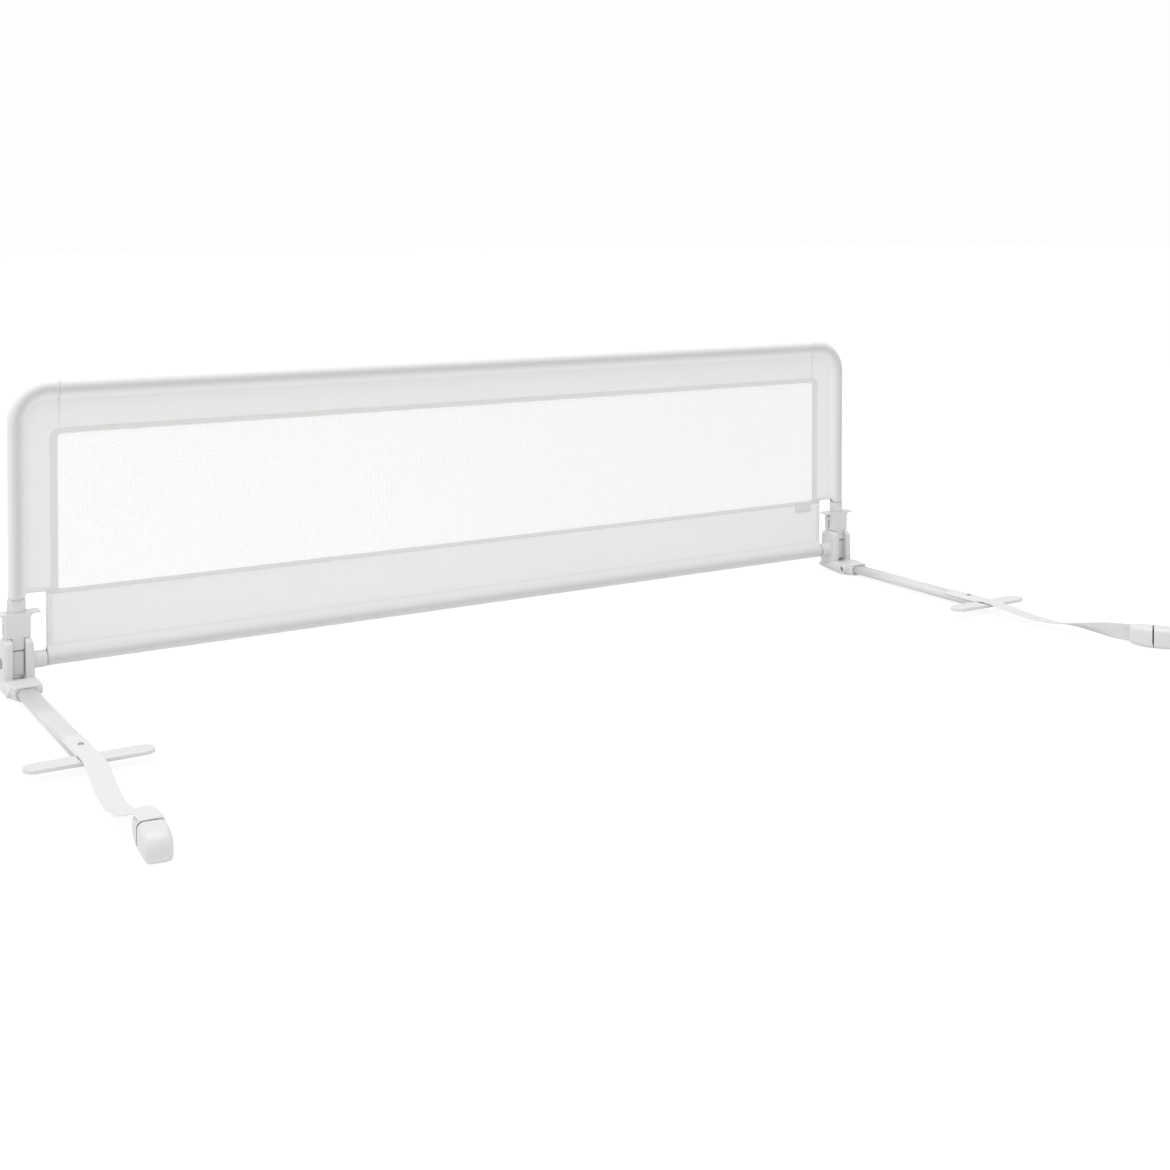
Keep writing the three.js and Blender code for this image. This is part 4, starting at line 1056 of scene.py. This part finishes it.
shell = prism("Y", slider_front(), -SLIDER_HALF_DEPTH, SLIDER_HALF_DEPTH)
plan = prism(
    "Z", rounded_rectangle(2 * WING_HALF_SPAN, 2 * SLIDER_HALF_DEPTH, 4.0), LIP_LOW - 3, SLIDER_TOP + 3
)
meet = shell.modifiers.new("plan", "BOOLEAN")
meet.object = plan
meet.operation = "INTERSECT"
meet.solver = "MANIFOLD"
plain(shell)
bpy.data.objects.remove(plan)
slot_rim = rounded_rectangle(SLOT_WIDTH + 2.8, SLOT_HEIGHT + 2.8, 3.0, 0, SLOT_MIDDLE)
rim = prism("X", slot_rim, RING_FACE, RING_ROOT)
screw_ring = turned([(3.5, RING_FACE), (3.5, RING_ROOT)], 0, SLIDER_SCREW_Z)
bridge = prism("Z", rounded_rectangle(8, 13.6, 0.5, 0, 0, 3), 19.8, 24.2)
# The sleeve is hollow for the neck and the stem, open between the lips and cut back over the cheeks' domes.
stem_depth = 2 * STEM_HALF_DEPTH + ROOM
neck_room = prism("Z", rounded_rectangle(NECK_WIDTH + ROOM, NECK_DEPTH + ROOM, 8.7, 0, 0, 16), 46, 70)
stem_room = prism("Z", rounded_rectangle(2 * STEM_HALF + ROOM, stem_depth, 1.2, 0, 0, 4), 30, 47)
lip_room = prism("Z", rounded_rectangle(36, stem_depth, 0.6, 0, 0, 3), 17, SLIDER_SHOULDER)
slot_outline = rounded_rectangle(SLOT_WIDTH, SLOT_HEIGHT, SLOT_WIDTH / 2 - 0.01, 0, SLOT_MIDDLE)
slot = prism("X", slot_outline, -19, 19)
screw_hole = turned([(2.3, -19), (2.3, -12.8)], 0, SLIDER_SCREW_Z)
dome = arc(CHEEK_RADIUS + 0.5, 0, 354, 59)
dome_rooms = [prism("X", dome, near, far) for near, far in ((-40, -LIP_HALF), (LIP_HALF, 40))]
slider = moulded(
    [shell, rim, screw_ring],
    [neck_room, stem_room, lip_room, slot, screw_hole, *dome_rooms],
    grain=0.45,
    melt=3,
    keep=0.3,
)
both_ends(slider, "slider_sleeve", "slider_{end}", white_abs, "slider")
both_ends(bridge, "slider_bridge", "slider_{end}", white_abs)


# The return springs: coils of plated spring wire in the stems' pockets, wound in seven even turns.
# Each pushes its slider down from the pocket's roof and is squeezed as the slider rises.
COIL_RADIUS = 3.1
WIRE_RADIUS = 0.45
COIL_LOW = 24.8
COIL_TOP = 47.2
COIL_TURNS = 7
COIL_STEPS = 20
WIRE_STEPS = 8
for end, side in (("left", -1), ("right", 1)):
    points = []
    for i in range(COIL_TURNS * COIL_STEPS + 1):
        share = i / (COIL_TURNS * COIL_STEPS)
        turn = 2 * math.pi * COIL_TURNS * share
        rise = COIL_LOW + (COIL_TOP - COIL_LOW) * share
        for j in range(WIRE_STEPS):
            angle = 2 * math.pi * j / WIRE_STEPS
            reach = COIL_RADIUS + WIRE_RADIUS * math.cos(angle)
            high = rise + WIRE_RADIUS * math.sin(angle)
            points.append(to_row(reach * math.cos(turn), reach * math.sin(turn), high, side))
    coil = outward(
        new_piece(f"return_coil_{end}", points, skin_faces(COIL_TURNS * COIL_STEPS + 1, WIRE_STEPS))
    )
    finish_piece(coil, "rail", zinc, [f"return_spring_{end}"])
    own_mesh(coil)


# The tubes: round steel tube, 19 mm across, powder coated like the arms and hidden by cloth and bases.
# They and the sliders' zinc-plated cross pins keep the shapes of their solids and only take a finish.
finishes = [("top_tube", white_powder)]
for end in ("left", "right"):
    finishes += [(f"corner_tube_{end}", white_powder), (f"bottom_tube_{end}", white_powder)]
    finishes.append((f"slot_pin_{end}", zinc))
for name, material in finishes:
    bpy.data.objects[name].data.materials.clear()
    bpy.data.objects[name].data.materials.append(material)


# The top band: one strip of plain woven white polyester, folded over the top tube and stitched below it.
# Its two cut edges lie under the window's binding, and a seam joins it to the side band at each corner.
TOP_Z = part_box("top_tube")[1].z / MM - fold_axis.z / MM - TUBE_RADIUS
SLEEVE_RADIUS = 10.1
CLOTH_THICK = 0.6
LAYER_Y = 0.32
STITCH = 16.0  # tube centre to the stitch line that closes the sleeve
SEAM_X = 657.2
STATION = 3.0
WINDOW_TOP = 310.5
EDGE_UNDER = 3.5  # the cloth's cut edge lies this far under the binding


def to_rail(x, y, z):
    """Millimetres from the middle of the rail and from the fold axis, as metres in the frame."""
    return Vector((x * MM, fold_axis.y + y * MM, fold_axis.z + z * MM))


def eased(value, low, high):
    """0 below low, 1 above high and a soft step between them."""
    share = min(max((value - low) / (high - low), 0), 1)
    return share * share * (3 - 2 * share)


def lie_of_cloth(x, z, free):
    """How far the flat cloth stands out of its plane: slow swells and, near the seams, fine puckers."""
    swell = 0.75 * noise.noise(Vector((x / 90, z / 55, 3.1)))
    swell += 0.3 * noise.noise(Vector((x / 31, z / 26, 7.7)))
    pucker = 0.16 * noise.noise(Vector((x / 5.5, z / 19, 1.3)))
    return swell * free + pucker * (1 - 0.6 * free)


def sleeve_section(flat_steps):
    """Half of the folded strip from the tube's far side to its cut edge: pairs of distance and height."""
    touch = math.acos(SLEEVE_RADIUS / STITCH)
    half = [
        (SLEEVE_RADIUS * math.cos(t), SLEEVE_RADIUS * math.sin(t)) for t in np.linspace(math.pi, touch, 11)
    ]
    start = half[-1]
    for share in (0.3, 0.6, 0.85):
        lift = 1 - share
        half.append((start[0] + (STITCH - start[0]) * share, LAYER_Y + (start[1] - LAYER_Y) * lift**1.15))
    return half + [(STITCH + i, LAYER_Y) for i in range(flat_steps + 1)]


def folded_cloth(name, stations, flat_steps, painted_shade_by_distance, hem=lambda x, z: 0.0):
    """Cloth folded round a tube, by stations: the tube's centre, the way inwards, the cut edge, a rise."""
    half = sleeve_section(flat_steps)
    wrap = len(half) - flat_steps - 1
    front = [(d, y, i) for i, (d, y) in enumerate(half)]
    section = [(d, -y, i) for d, y, i in front[::-1]] + front[1:]
    steps = [math.dist(a, b) for a, b in zip(half[:wrap], half[1 : wrap + 1])]
    runs = np.concatenate([[0], np.cumsum(steps)])
    points, cloth_map, painted_shades = [], [], []
    for centre, inwards, edge, rise in stations:
        stitch = centre + STITCH * inwards
        for d, y, i in section:
            if i < wrap:
                place, free, unrolled = centre + d * inwards, 0.0, STITCH - (runs[-1] - runs[i])
                flat_place = centre + unrolled * inwards
            else:
                share = (i - wrap) / flat_steps
                place = stitch + (edge - stitch) * share
                flat_place = place
                far = math.dist(place, stitch)
                free = eased(far, 0, 14) * eased(math.dist(place, edge), 3, 14)
            x, z = place
            doubled = hem(x, z)
            y *= 1 + doubled * (0.8 if i >= wrap else 0.03)
            if rise:
                z += rise * eased(d if i < wrap else STITCH, 8.5, 12)
            lift = 0.0 if i < wrap - 1 else lie_of_cloth(x, z, free)
            points.append(to_rail(x, y + lift, z))
            cloth_map.append((flat_place[0] * MM, flat_place[1] * MM))
            distance = d if i < wrap else STITCH + math.dist(place, stitch)
            # Painted shade: darker where the tube lies behind the cloth, and lightly on the double hems
            painted_shades.append(max(float(np.interp(abs(distance), PAINTED_SHADE_AT, painted_shade_by_distance)), 0.3 * doubled))
    piece = new_piece(name, points, open_skin(len(stations), len(section)), cloth_map)
    layer = piece.data.attributes.new("painted_shade", "FLOAT", "POINT")
    layer.data.foreach_set("value", painted_shades)
    return thickened(piece, CLOTH_THICK)


def thickened(piece, thick):
    thicken = piece.modifiers.new("thick", "SOLIDIFY")
    thicken.thickness = thick * MM
    thicken.offset = 0.0
    plain(piece)
    piece.data.polygons.foreach_set("use_smooth", [True] * len(piece.data.polygons))
    return outward(piece)


# Painted shade on the cloth by distance from the tube's centre in millimetres, darkest where the tube lies
# behind it
PAINTED_SHADE_AT = (0, 3, 4.4, 7.3, 10, 13, 16, 20)
SHADE_PAINTED_TUBE_ABOVE = (1, 0.88, 0.7, 0.45, 0.14, 0.07, 0, 0)
# On the lower panel the painted shade reaches further over the sleeve's slope above the tube, where the lamp
# above lights it
SHADE_PAINTED_TUBE_BELOW = (1, 0.9, 0.78, 0.62, 0.45, 0.4, 0.3, 0)


SLUB_MM = 9.0  # size of the faint clouds that uneven yarn leaves in the cloth


def woven(name, hex_colour, painted_shade_colour, thread_mm, relief_mm, roughness, through):
    """Plain weave on the cloth map, darkened towards its second colour as painted shade where the point
    attribute says that a tube or a hem lies.
    """
    material, tree, shader = material_with_shader(
        name, hex_colour, roughness, Sheen_Weight=0.2, Sheen_Roughness=0.6
    )
    place = add_node(tree, "ShaderNodeTexCoord")
    split = cloth_place(tree)
    waves = [sine_along(tree, split[axis], 2 * thread_mm) for axis in ("X", "Y")]
    weave = add_node(tree, "ShaderNodeMath", [(0, waves[0]), (1, waves[1])], operation="MULTIPLY")
    relief = add_node(
        tree,
        "ShaderNodeBump",
        [("Height", weave.outputs[0]), ("Distance", relief_mm * MM), ("Strength", 0.5)],
    )
    slub = add_node(
        tree,
        "ShaderNodeTexNoise",
        [("Vector", place.outputs["UV"]), ("Scale", 1 / (SLUB_MM * MM)), ("Detail", 3.0)],
    )
    worn = add_node(
        tree, "ShaderNodeMapRange", [("Value", slub.outputs[0]), ("To Min", 0.975), ("To Max", 1.015)]
    )
    # Painted shade: the attribute's share mixes the cloth towards its darker colour
    under = add_node(tree, "ShaderNodeAttribute", attribute_name="painted_shade")
    colour = add_node(
        tree,
        "ShaderNodeMix",
        [("Factor", under.outputs["Fac"]), (6, linear(hex_colour)), (7, linear(painted_shade_colour))],
        data_type="RGBA",
    )
    shade = add_node(
        tree, "ShaderNodeVectorMath", [(0, colour.outputs[2]), (1, worn.outputs[0])], operation="MULTIPLY"
    )
    tree.links.new(shade.outputs[0], shader.inputs["Base Color"])
    tree.links.new(relief.outputs[0], shader.inputs["Normal"])
    thin = add_node(
        tree, "ShaderNodeBsdfTranslucent", [("Color", linear(hex_colour)), ("Normal", relief.outputs[0])]
    )
    light = add_node(
        tree, "ShaderNodeMixShader", [(0, through), (1, shader.outputs[0]), (2, thin.outputs[0])]
    )
    output = next(node for node in tree.nodes if node.type == "OUTPUT_MATERIAL")
    tree.links.new(light.outputs[0], output.inputs["Surface"])
    return material


# The real threads are 0.45 mm apart, which is too fine for the picture, so the weave is drawn at 1 mm.
WEAVE_MM = 1.0
# The first colour is lighter than the cloth itself, as painted light that shines through the single layer
# from behind; the second is painted shade over tubes and hems
cloth = woven("plain woven polyester", 0xFAFAF9, 0xD8D8D8, WEAVE_MM, 0.06, 0.86, 0.18)


def sewn(piece, node):
    """Finishes a piece of the cover in the cloth and hides the solid that it replaces."""
    finish_piece(piece, "rail", cloth, [node])


# From the tube's far side round it, and then down the slope to the stitch line
window_edge = WINDOW_TOP - EDGE_UNDER
across = np.linspace(-SEAM_X, SEAM_X, int(2 * SEAM_X / STATION) + 1)
down = np.array((0.0, -1.0))
rows = [(np.array((x, TOP_Z)), down, np.array((x, window_edge)), 0.0) for x in across]
top_band = folded_cloth("top_band_cloth", rows, 13, SHADE_PAINTED_TUBE_ABOVE)
sewn(top_band, "top_band")


# The side bands: the same cloth, cut to the corner's curve and closed round the bend and the post.
# The sleeve ends in a hem at the post foot's neck, and the flat part a little higher, over the lower panel.
BEND_RADIUS = 44.0
BEND_X = POST_X - BEND_RADIUS
BEND_Z = TOP_Z - BEND_RADIUS
SLEEVE_LOW = 85.0
BAND_LOW = 90.5
HEM = 8.0
WINDOW_X = 669.2
INNER_CORNER = 7.0
side_edge = WINDOW_X - EDGE_UNDER - 1
corner_z = window_edge - INNER_CORNER


def low_hem(x, z):
    """1 on the hem at the sleeve's lower end and 0 above it."""
    return 1 - eased(z, SLEEVE_LOW + HEM - 1.5, SLEEVE_LOW + HEM)


for end, side in (("left", -1), ("right", 1)):
    rows = []
    for x in np.linspace(SEAM_X, BEND_X, 5)[:-1]:
        rows.append(((x, TOP_Z), (0, -1), (SEAM_X, window_edge), 0.0))
    for turn in np.linspace(0, math.pi / 2, 25):
        centre = (BEND_X + BEND_RADIUS * math.sin(turn), BEND_Z + BEND_RADIUS * math.cos(turn))
        edge = (SEAM_X + INNER_CORNER * math.sin(turn), corner_z + INNER_CORNER * math.cos(turn))
        rows.append((centre, (-math.sin(turn), -math.cos(turn)), edge, 0.0))
    for z in np.linspace(BEND_Z, SLEEVE_LOW, 80)[1:]:
        rise = (BAND_LOW - SLEEVE_LOW) * (1 - eased(z, SLEEVE_LOW, SLEEVE_LOW + 40))
        share = (z - SLEEVE_LOW) / (BEND_Z - SLEEVE_LOW)
        edge_z = SLEEVE_LOW + (corner_z - SLEEVE_LOW) * share
        rows.append(((POST_X, z), (-1, 0), (side_edge, edge_z), rise))
    flip = np.array((side, 1))
    rows = [(*(np.array(pair, float) * flip for pair in row[:3]), row[3]) for row in rows]
    band = folded_cloth(f"side_band_cloth_{end}", rows, 12, SHADE_PAINTED_TUBE_ABOVE, low_hem)
    long = (BEND_X - SEAM_X) + BEND_RADIUS * math.pi / 2 + BEND_Z - SLEEVE_LOW
    sewn(band, f"side_band_{end}")


# The lower panel: one strip of the same cloth, folded round the two bottom tubes between the hinges.
# Both ends have a hem 8 mm wide, and its upper edge lies under the lower bar of the window's binding.
PANEL_END = 675.0
PANEL_TOP = 88.3
PANEL_HIGH = 90.2
up = np.array((0.0, 1.0))


def end_hem(x, z):
    """1 on the hems at the panel's two ends and 0 between them."""
    return eased(abs(x), PANEL_END - HEM - 1, PANEL_END - HEM + 1)


rows = []
for x in np.linspace(-PANEL_END, PANEL_END, int(2 * PANEL_END / STATION) + 1):
    high = PANEL_TOP + (PANEL_HIGH - PANEL_TOP) * eased(abs(x), WINDOW_X - 4, WINDOW_X)
    rows.append((np.array((x, 0.0)), up, np.array((x, high)), 0.0))
panel = folded_cloth("lower_panel_cloth", rows, 22, SHADE_PAINTED_TUBE_BELOW, end_hem)
sewn(panel, "lower_panel")


# The mesh window: fine white warp-knitted net with six-sided holes, stretched flat inside its binding.
# The real holes are about 1.2 mm apart; they are drawn 2.2 mm apart, which is as fine as the picture holds.
NET_MM = 2.2
NET_HALF_THREAD = 0.14
NET_WHITE = 0xF7F7F6
net, tree, shader = material_with_shader("warp-knitted polyester net", NET_WHITE, 0.8, Sheen_Weight=0.2)
place = add_node(tree, "ShaderNodeTexCoord")
cells = (1 / (NET_MM * MM),) * 3
grid = add_node(tree, "ShaderNodeVectorMath", [(0, place.outputs["UV"]), (1, cells)], operation="MULTIPLY")
holes = add_node(
    tree,
    "ShaderNodeTexVoronoi",
    [("Vector", grid.outputs[0]), ("Scale", 1.0), ("Randomness", 0.12)],
    feature="DISTANCE_TO_EDGE",
    voronoi_dimensions="2D",
)
knit = add_node(
    tree, "ShaderNodeMath", [(0, holes.outputs["Distance"]), (1, NET_HALF_THREAD)], operation="LESS_THAN"
)
open_place = add_node(tree, "ShaderNodeBsdfTransparent")
through = add_node(tree, "ShaderNodeBsdfTranslucent", [("Color", linear(NET_WHITE))])
yarn = add_node(tree, "ShaderNodeMixShader", [(0, 0.35), (1, shader.outputs[0]), (2, through.outputs[0])])
mixed = add_node(
    tree, "ShaderNodeMixShader", [(0, knit.outputs[0]), (1, open_place.outputs[0]), (2, yarn.outputs[0])]
)
output = next(node for node in tree.nodes if node.type == "OUTPUT_MATERIAL")
tree.links.new(mixed.outputs[0], output.inputs["Surface"])

NET_HALF = 664.5
NET_LOW = 87.0
NET_HIGH = 308.5
NET_CELL = 7.5
NET_THICK = 0.4
columns = np.linspace(-NET_HALF, NET_HALF, int(2 * NET_HALF / NET_CELL) + 1)
levels = np.linspace(NET_LOW, NET_HIGH, int((NET_HIGH - NET_LOW) / NET_CELL) + 1)
points, net_map = [], []
for x in columns:
    for z in levels:
        rim_gap = min(NET_HALF - abs(x), z - NET_LOW, NET_HIGH - z)
        sway = 0.7 * noise.noise(Vector((x / 150, z / 90, 11.0))) * eased(rim_gap, 4, 40)
        points.append(to_rail(x, sway, z))
        net_map.append((x * MM, z * MM))
window = new_piece("mesh_window_net", points, open_skin(len(columns), len(levels)), net_map)
thickened(window, NET_THICK)
finish_piece(window, "rail", net, ["mesh_window"])


# The window's binding: woven tape 9.5 mm wide on both faces, sewn over the edges of net and cloth.
# One length runs up, over and down, with round corners; a second closes the bottom with mitred ends.
tape = woven("woven binding tape", 0xE2E2E1, 0xE2E2E1, 0.9, 0.07, 0.82, 0.08)
TAPE_WIDTH = 9.5
TAPE_FACE = 1.2
TAPE_BACK = 0.66
OUTER_CORNER = 12.0
BOTTOM_OUTER = 86.0
BOTTOM_INNER = 91.0
TAPE_GAP = 0.15
INNER_TOP = 303.5
inner_x = WINDOW_X - TAPE_WIDTH


def tape_path():
    """Pairs of outer and inner edge points up one side, over the top and down the other side."""
    pairs = []
    rise = np.linspace(BOTTOM_INNER, WINDOW_TOP - OUTER_CORNER, 62)
    pairs.append(((WINDOW_X, BOTTOM_OUTER + TAPE_GAP), (inner_x, BOTTOM_INNER + TAPE_GAP)))
    for z in rise[1:]:
        share = (z - BOTTOM_INNER) / (rise[-1] - BOTTOM_INNER)
        pairs.append(
            ((WINDOW_X, z), (inner_x, BOTTOM_INNER + share * (INNER_TOP - INNER_CORNER - BOTTOM_INNER)))
        )
    for turn in np.linspace(0, math.pi / 2, 13)[1:]:
        side, top = 1 - math.cos(turn), 1 - math.sin(turn)
        outer = (WINDOW_X - OUTER_CORNER * side, WINDOW_TOP - OUTER_CORNER * top)
        pairs.append((outer, (inner_x - INNER_CORNER * side, INNER_TOP - INNER_CORNER * top)))
    over = np.linspace(WINDOW_X - OUTER_CORNER, 0, 180)
    for x in over[1:]:
        pairs.append(((x, WINDOW_TOP), (x * (inner_x - INNER_CORNER) / over[0], INNER_TOP)))
    return pairs + [((-a, b), (-c, d)) for (a, b), (c, d) in pairs[-2::-1]]


tape_section = [
    (0.0, TAPE_BACK), (0.0, 0.9), (0.03, 1.08), (0.09, TAPE_FACE), (0.91, TAPE_FACE), (0.97, 1.08)
]
tape_section += [(1.0, 0.9), (1.0, TAPE_BACK)]


def tape_points(pairs, face):
    """Rings of a tape between its two edges, on one face of the cover, with a faint wave in its width."""
    points, tape_map, run, last = [], [], 0.0, None
    for outer, inner in pairs:
        outer, inner = np.array(outer), np.array(inner)
        run += 0.0 if last is None else math.dist(outer, last)
        last = outer
        wave = 0.35 * noise.noise(Vector((run / 37, face, 5.0)))
        puff = 0.1 * noise.noise(Vector((run / 6, face, 9.0)))
        for share, depth in tape_section:
            x, z = outer + (inner - outer) * share + (outer - inner) / TAPE_WIDTH * wave * (share < 0.5)
            points.append(to_rail(x, face * (depth + puff * (depth > 1)), z))
            tape_map.append((run * MM, share * TAPE_WIDTH * MM))
    return points, tape_map


over_path = tape_path()
bottom_path = []
for x in np.linspace(-1, 1, 360):
    bottom_path.append(((x * (WINDOW_X - TAPE_GAP), BOTTOM_OUTER), (x * (inner_x - TAPE_GAP), BOTTOM_INNER)))
points, faces, tape_map = [], [], []
for face in (-1, 1):
    for path in (over_path, bottom_path):
        made, placed = tape_points(path, face)
        start = len(points)
        faces += [tuple(start + i for i in one) for one in skin_faces(len(path), len(tape_section))]
        points += made
        tape_map += placed
binding = outward(new_piece("window_binding_tape", points, faces, tape_map))
finish_piece(binding, "rail", tape, ["window_binding"])


# The stitching: white polyester lockstitch, 2.6 mm long with 1 mm between, on both faces of the cover.
# Rows run along the binding's edges, under the sleeves, beside the seams and on the hems, and close tacks
# hold the window's lower corners. A fine wave across the thread gives the shine of its twist.
STRAND_MM = 2.2
thread, tree, shader = material_with_shader("twisted polyester thread", 0xE9E9E8, 0.6, Sheen_Weight=0.3)
place = add_node(tree, "ShaderNodeTexCoord")
strands = add_node(
    tree,
    "ShaderNodeTexWave",
    [("Vector", place.outputs["Object"]), ("Scale", 1 / (STRAND_MM * MM))],
    bands_direction="DIAGONAL",
)
relief = add_node(
    tree, "ShaderNodeBump", [("Height", strands.outputs["Fac"]), ("Distance", 0.05 * MM), ("Strength", 0.6)]
)
tree.links.new(relief.outputs[0], shader.inputs["Normal"])


def stitch_tree():
    """Geometry Nodes that lay stitches end to end along every line of the mesh."""
    sizes = [(label, "Float") for label in ("Pitch", "Stitch Length", "Thread Radius")]
    tree, given = growing_tree("lockstitch", sizes)
    line = add_node(tree, "GeometryNodeMeshToCurve", [("Mesh", given.outputs["Geometry"])])
    dots = add_node(
        tree,
        "GeometryNodeCurveToPoints",
        [("Curve", line.outputs[0]), ("Length", given.outputs["Pitch"])],
        mode="LENGTH",
    )
    turn = add_node(
        tree, "FunctionNodeAlignRotationToVector", [("Vector", dots.outputs["Tangent"])], axis="X"
    )
    bead = add_node(tree, "GeometryNodeMeshUVSphere", [("Segments", 6), ("Rings", 4), ("Radius", 1.0)])
    half = add_node(
        tree, "ShaderNodeMath", [(0, given.outputs["Stitch Length"]), (1, 0.5)], operation="MULTIPLY"
    )
    radius = given.outputs["Thread Radius"]
    size = add_node(tree, "ShaderNodeCombineXYZ", [("X", half.outputs[0]), ("Y", radius), ("Z", radius)])
    stitch = add_node(
        tree, "GeometryNodeTransform", [("Geometry", bead.outputs[0]), ("Scale", size.outputs[0])]
    )
    laid = add_node(
        tree,
        "GeometryNodeInstanceOnPoints",
        [("Points", dots.outputs["Points"]), ("Instance", stitch.outputs[0]), ("Rotation", turn.outputs[0])],
    )
    return hand_out(tree, given, laid.outputs[0])


STITCH_PITCH = 3.6
STITCH_LENGTH = 2.6
THREAD_RADIUS = 0.27
stitch_nodes = stitch_tree()


def stitched(name, lines, pitch=STITCH_PITCH, long=STITCH_LENGTH):
    """Stitches along lines of points given in metres."""
    points, edges = [], []
    for line in lines:
        start = len(points)
        points += line
        edges += [(start + i, start + i + 1) for i in range(len(line) - 1)]
    piece = grown(
        name,
        stitch_nodes,
        points,
        edges,
        Pitch=pitch * MM,
        Stitch_Length=long * MM,
        Thread_Radius=THREAD_RADIUS * MM,
        Material=thread,
    )
    return finish_piece(piece, "rail", thread)


def both_faces(places, height):
    """The same line on the front and the rear of the cover, at a height from its middle plane."""
    return [[to_rail(x, face * height, z) for x, z in places] for face in (-1, 1)]


BESIDE = 0.8  # from the line that closes a sleeve to the middle of its visible stitches
TAPE_TOP = TAPE_FACE + 0.06
CLOTH_TOP = LAYER_Y + CLOTH_THICK / 2 + 0.1
tape_lines = []
for share in (0.14, 0.86):
    places = [tuple(np.array(o) + (np.array(i) - np.array(o)) * share) for o, i in over_path]
    tape_lines += both_faces(places, TAPE_TOP)
middle = (BOTTOM_OUTER + BOTTOM_INNER) / 2
tape_lines += both_faces([(-WINDOW_X + 4, middle), (WINDOW_X - 4, middle)], TAPE_TOP)
binding_stitches = stitched("binding_stitches", tape_lines)

band_row = TOP_Z - STITCH - BESIDE
cloth_lines = both_faces([(-SEAM_X, band_row), (SEAM_X, band_row)], CLOTH_TOP)
cloth_lines += both_faces([(1 - PANEL_END, STITCH + BESIDE), (PANEL_END - 1, STITCH + BESIDE)], CLOTH_TOP)
for side in (-1, 1):
    closing = BEND_RADIUS - STITCH - BESIDE
    places = [(side * SEAM_X, band_row)]
    for turn in np.linspace(0, math.pi / 2, 13):
        places.append((side * (BEND_X + closing * math.sin(turn)), BEND_Z + closing * math.cos(turn)))
    places.append((side * (POST_X - STITCH - BESIDE), BAND_LOW + 1))
    cloth_lines += both_faces(places, CLOTH_TOP)
    hem_x = side * (PANEL_END - HEM + 1.2)
    cloth_lines += both_faces([(hem_x, STITCH + 2), (hem_x, BOTTOM_OUTER - 1)], CLOTH_TOP + 0.2)
    hem_z = BAND_LOW + HEM - 2.5
    hem_row = [(side * (WINDOW_X + 1), hem_z), (side * (POST_X - STITCH), hem_z)]
    cloth_lines += both_faces(hem_row, CLOTH_TOP + 0.2)
    for offset in (-1.8, 1.8):
        over = [(d, y) for d, y in sleeve_section(13) if y > 0.3]
        round_tube = [(d, -y) for d, y in over[::-1]] + [(-SLEEVE_RADIUS, 0)] + over[1:]
        seam = []
        for d, y in round_tube:
            near = (abs(y) + 0.36) / abs(y) if d > STITCH - 1 else 1 + 0.36 / math.hypot(d, y)
            seam.append(
                to_rail(side * (SEAM_X + offset), y * near, TOP_Z - d * (near if d < STITCH - 1 else 1))
            )
        cloth_lines.append(seam)
cloth_stitches = stitched("cloth_stitches", cloth_lines)

TACK_INNER = 660.5
TACK_OUTER = 675.3
TACK_LOW = 88.4
TACK_HIGH = 94.2
TACK_STEP = 0.65
tack_lines = []
for side in (-1, 1):
    for z in np.arange(TACK_LOW, TACK_HIGH, TACK_STEP):
        tack_lines += both_faces([(side * TACK_INNER, z), (side * TACK_OUTER, z)], TAPE_TOP + 0.05)
corner_tacks = stitched("corner_tacks", tack_lines, pitch=2.0, long=2.7)


# The care tag: blank white satin ribbon, 33 by 14 mm, sewn by its upper edge to the front of the lower panel.
# Its face is smooth and a little greyer than the cloth, and it carries no words.
FLOAT_MM = 0.8
satin, tree, shader = material_with_shader("satin ribbon", 0xD3D4D4, 0.45, Sheen_Weight=0.25)
floats = sine_along(tree, cloth_place(tree)["X"], FLOAT_MM)
relief = add_node(tree, "ShaderNodeBump", [("Height", floats), ("Distance", 0.03 * MM), ("Strength", 0.5)])
tree.links.new(relief.outputs[0], shader.inputs["Normal"])
TAG_LEFT = 621.0
TAG_RIGHT = 654.0
TAG_LOW = 74.0
TAG_HIGH = 88.0
TAG_THICK = 0.25
points, tag_map = [], []
tag_columns, tag_levels = np.linspace(TAG_LEFT, TAG_RIGHT, 23), np.linspace(TAG_LOW, TAG_HIGH, 11)
for x in tag_columns:
    for z in tag_levels:
        lift = 1.15 + 0.5 * (1 - eased(z, TAG_LOW, TAG_HIGH)) + 0.2 * noise.noise(Vector((x / 9, z / 8, 2.0)))
        points.append(to_rail(x, -lift, z))
        tag_map.append((x * MM, z * MM))
tag = new_piece("care_tag", points, open_skin(len(tag_columns), len(tag_levels)), tag_map)
thickened(tag, TAG_THICK)
finish_piece(tag, "rail", satin)
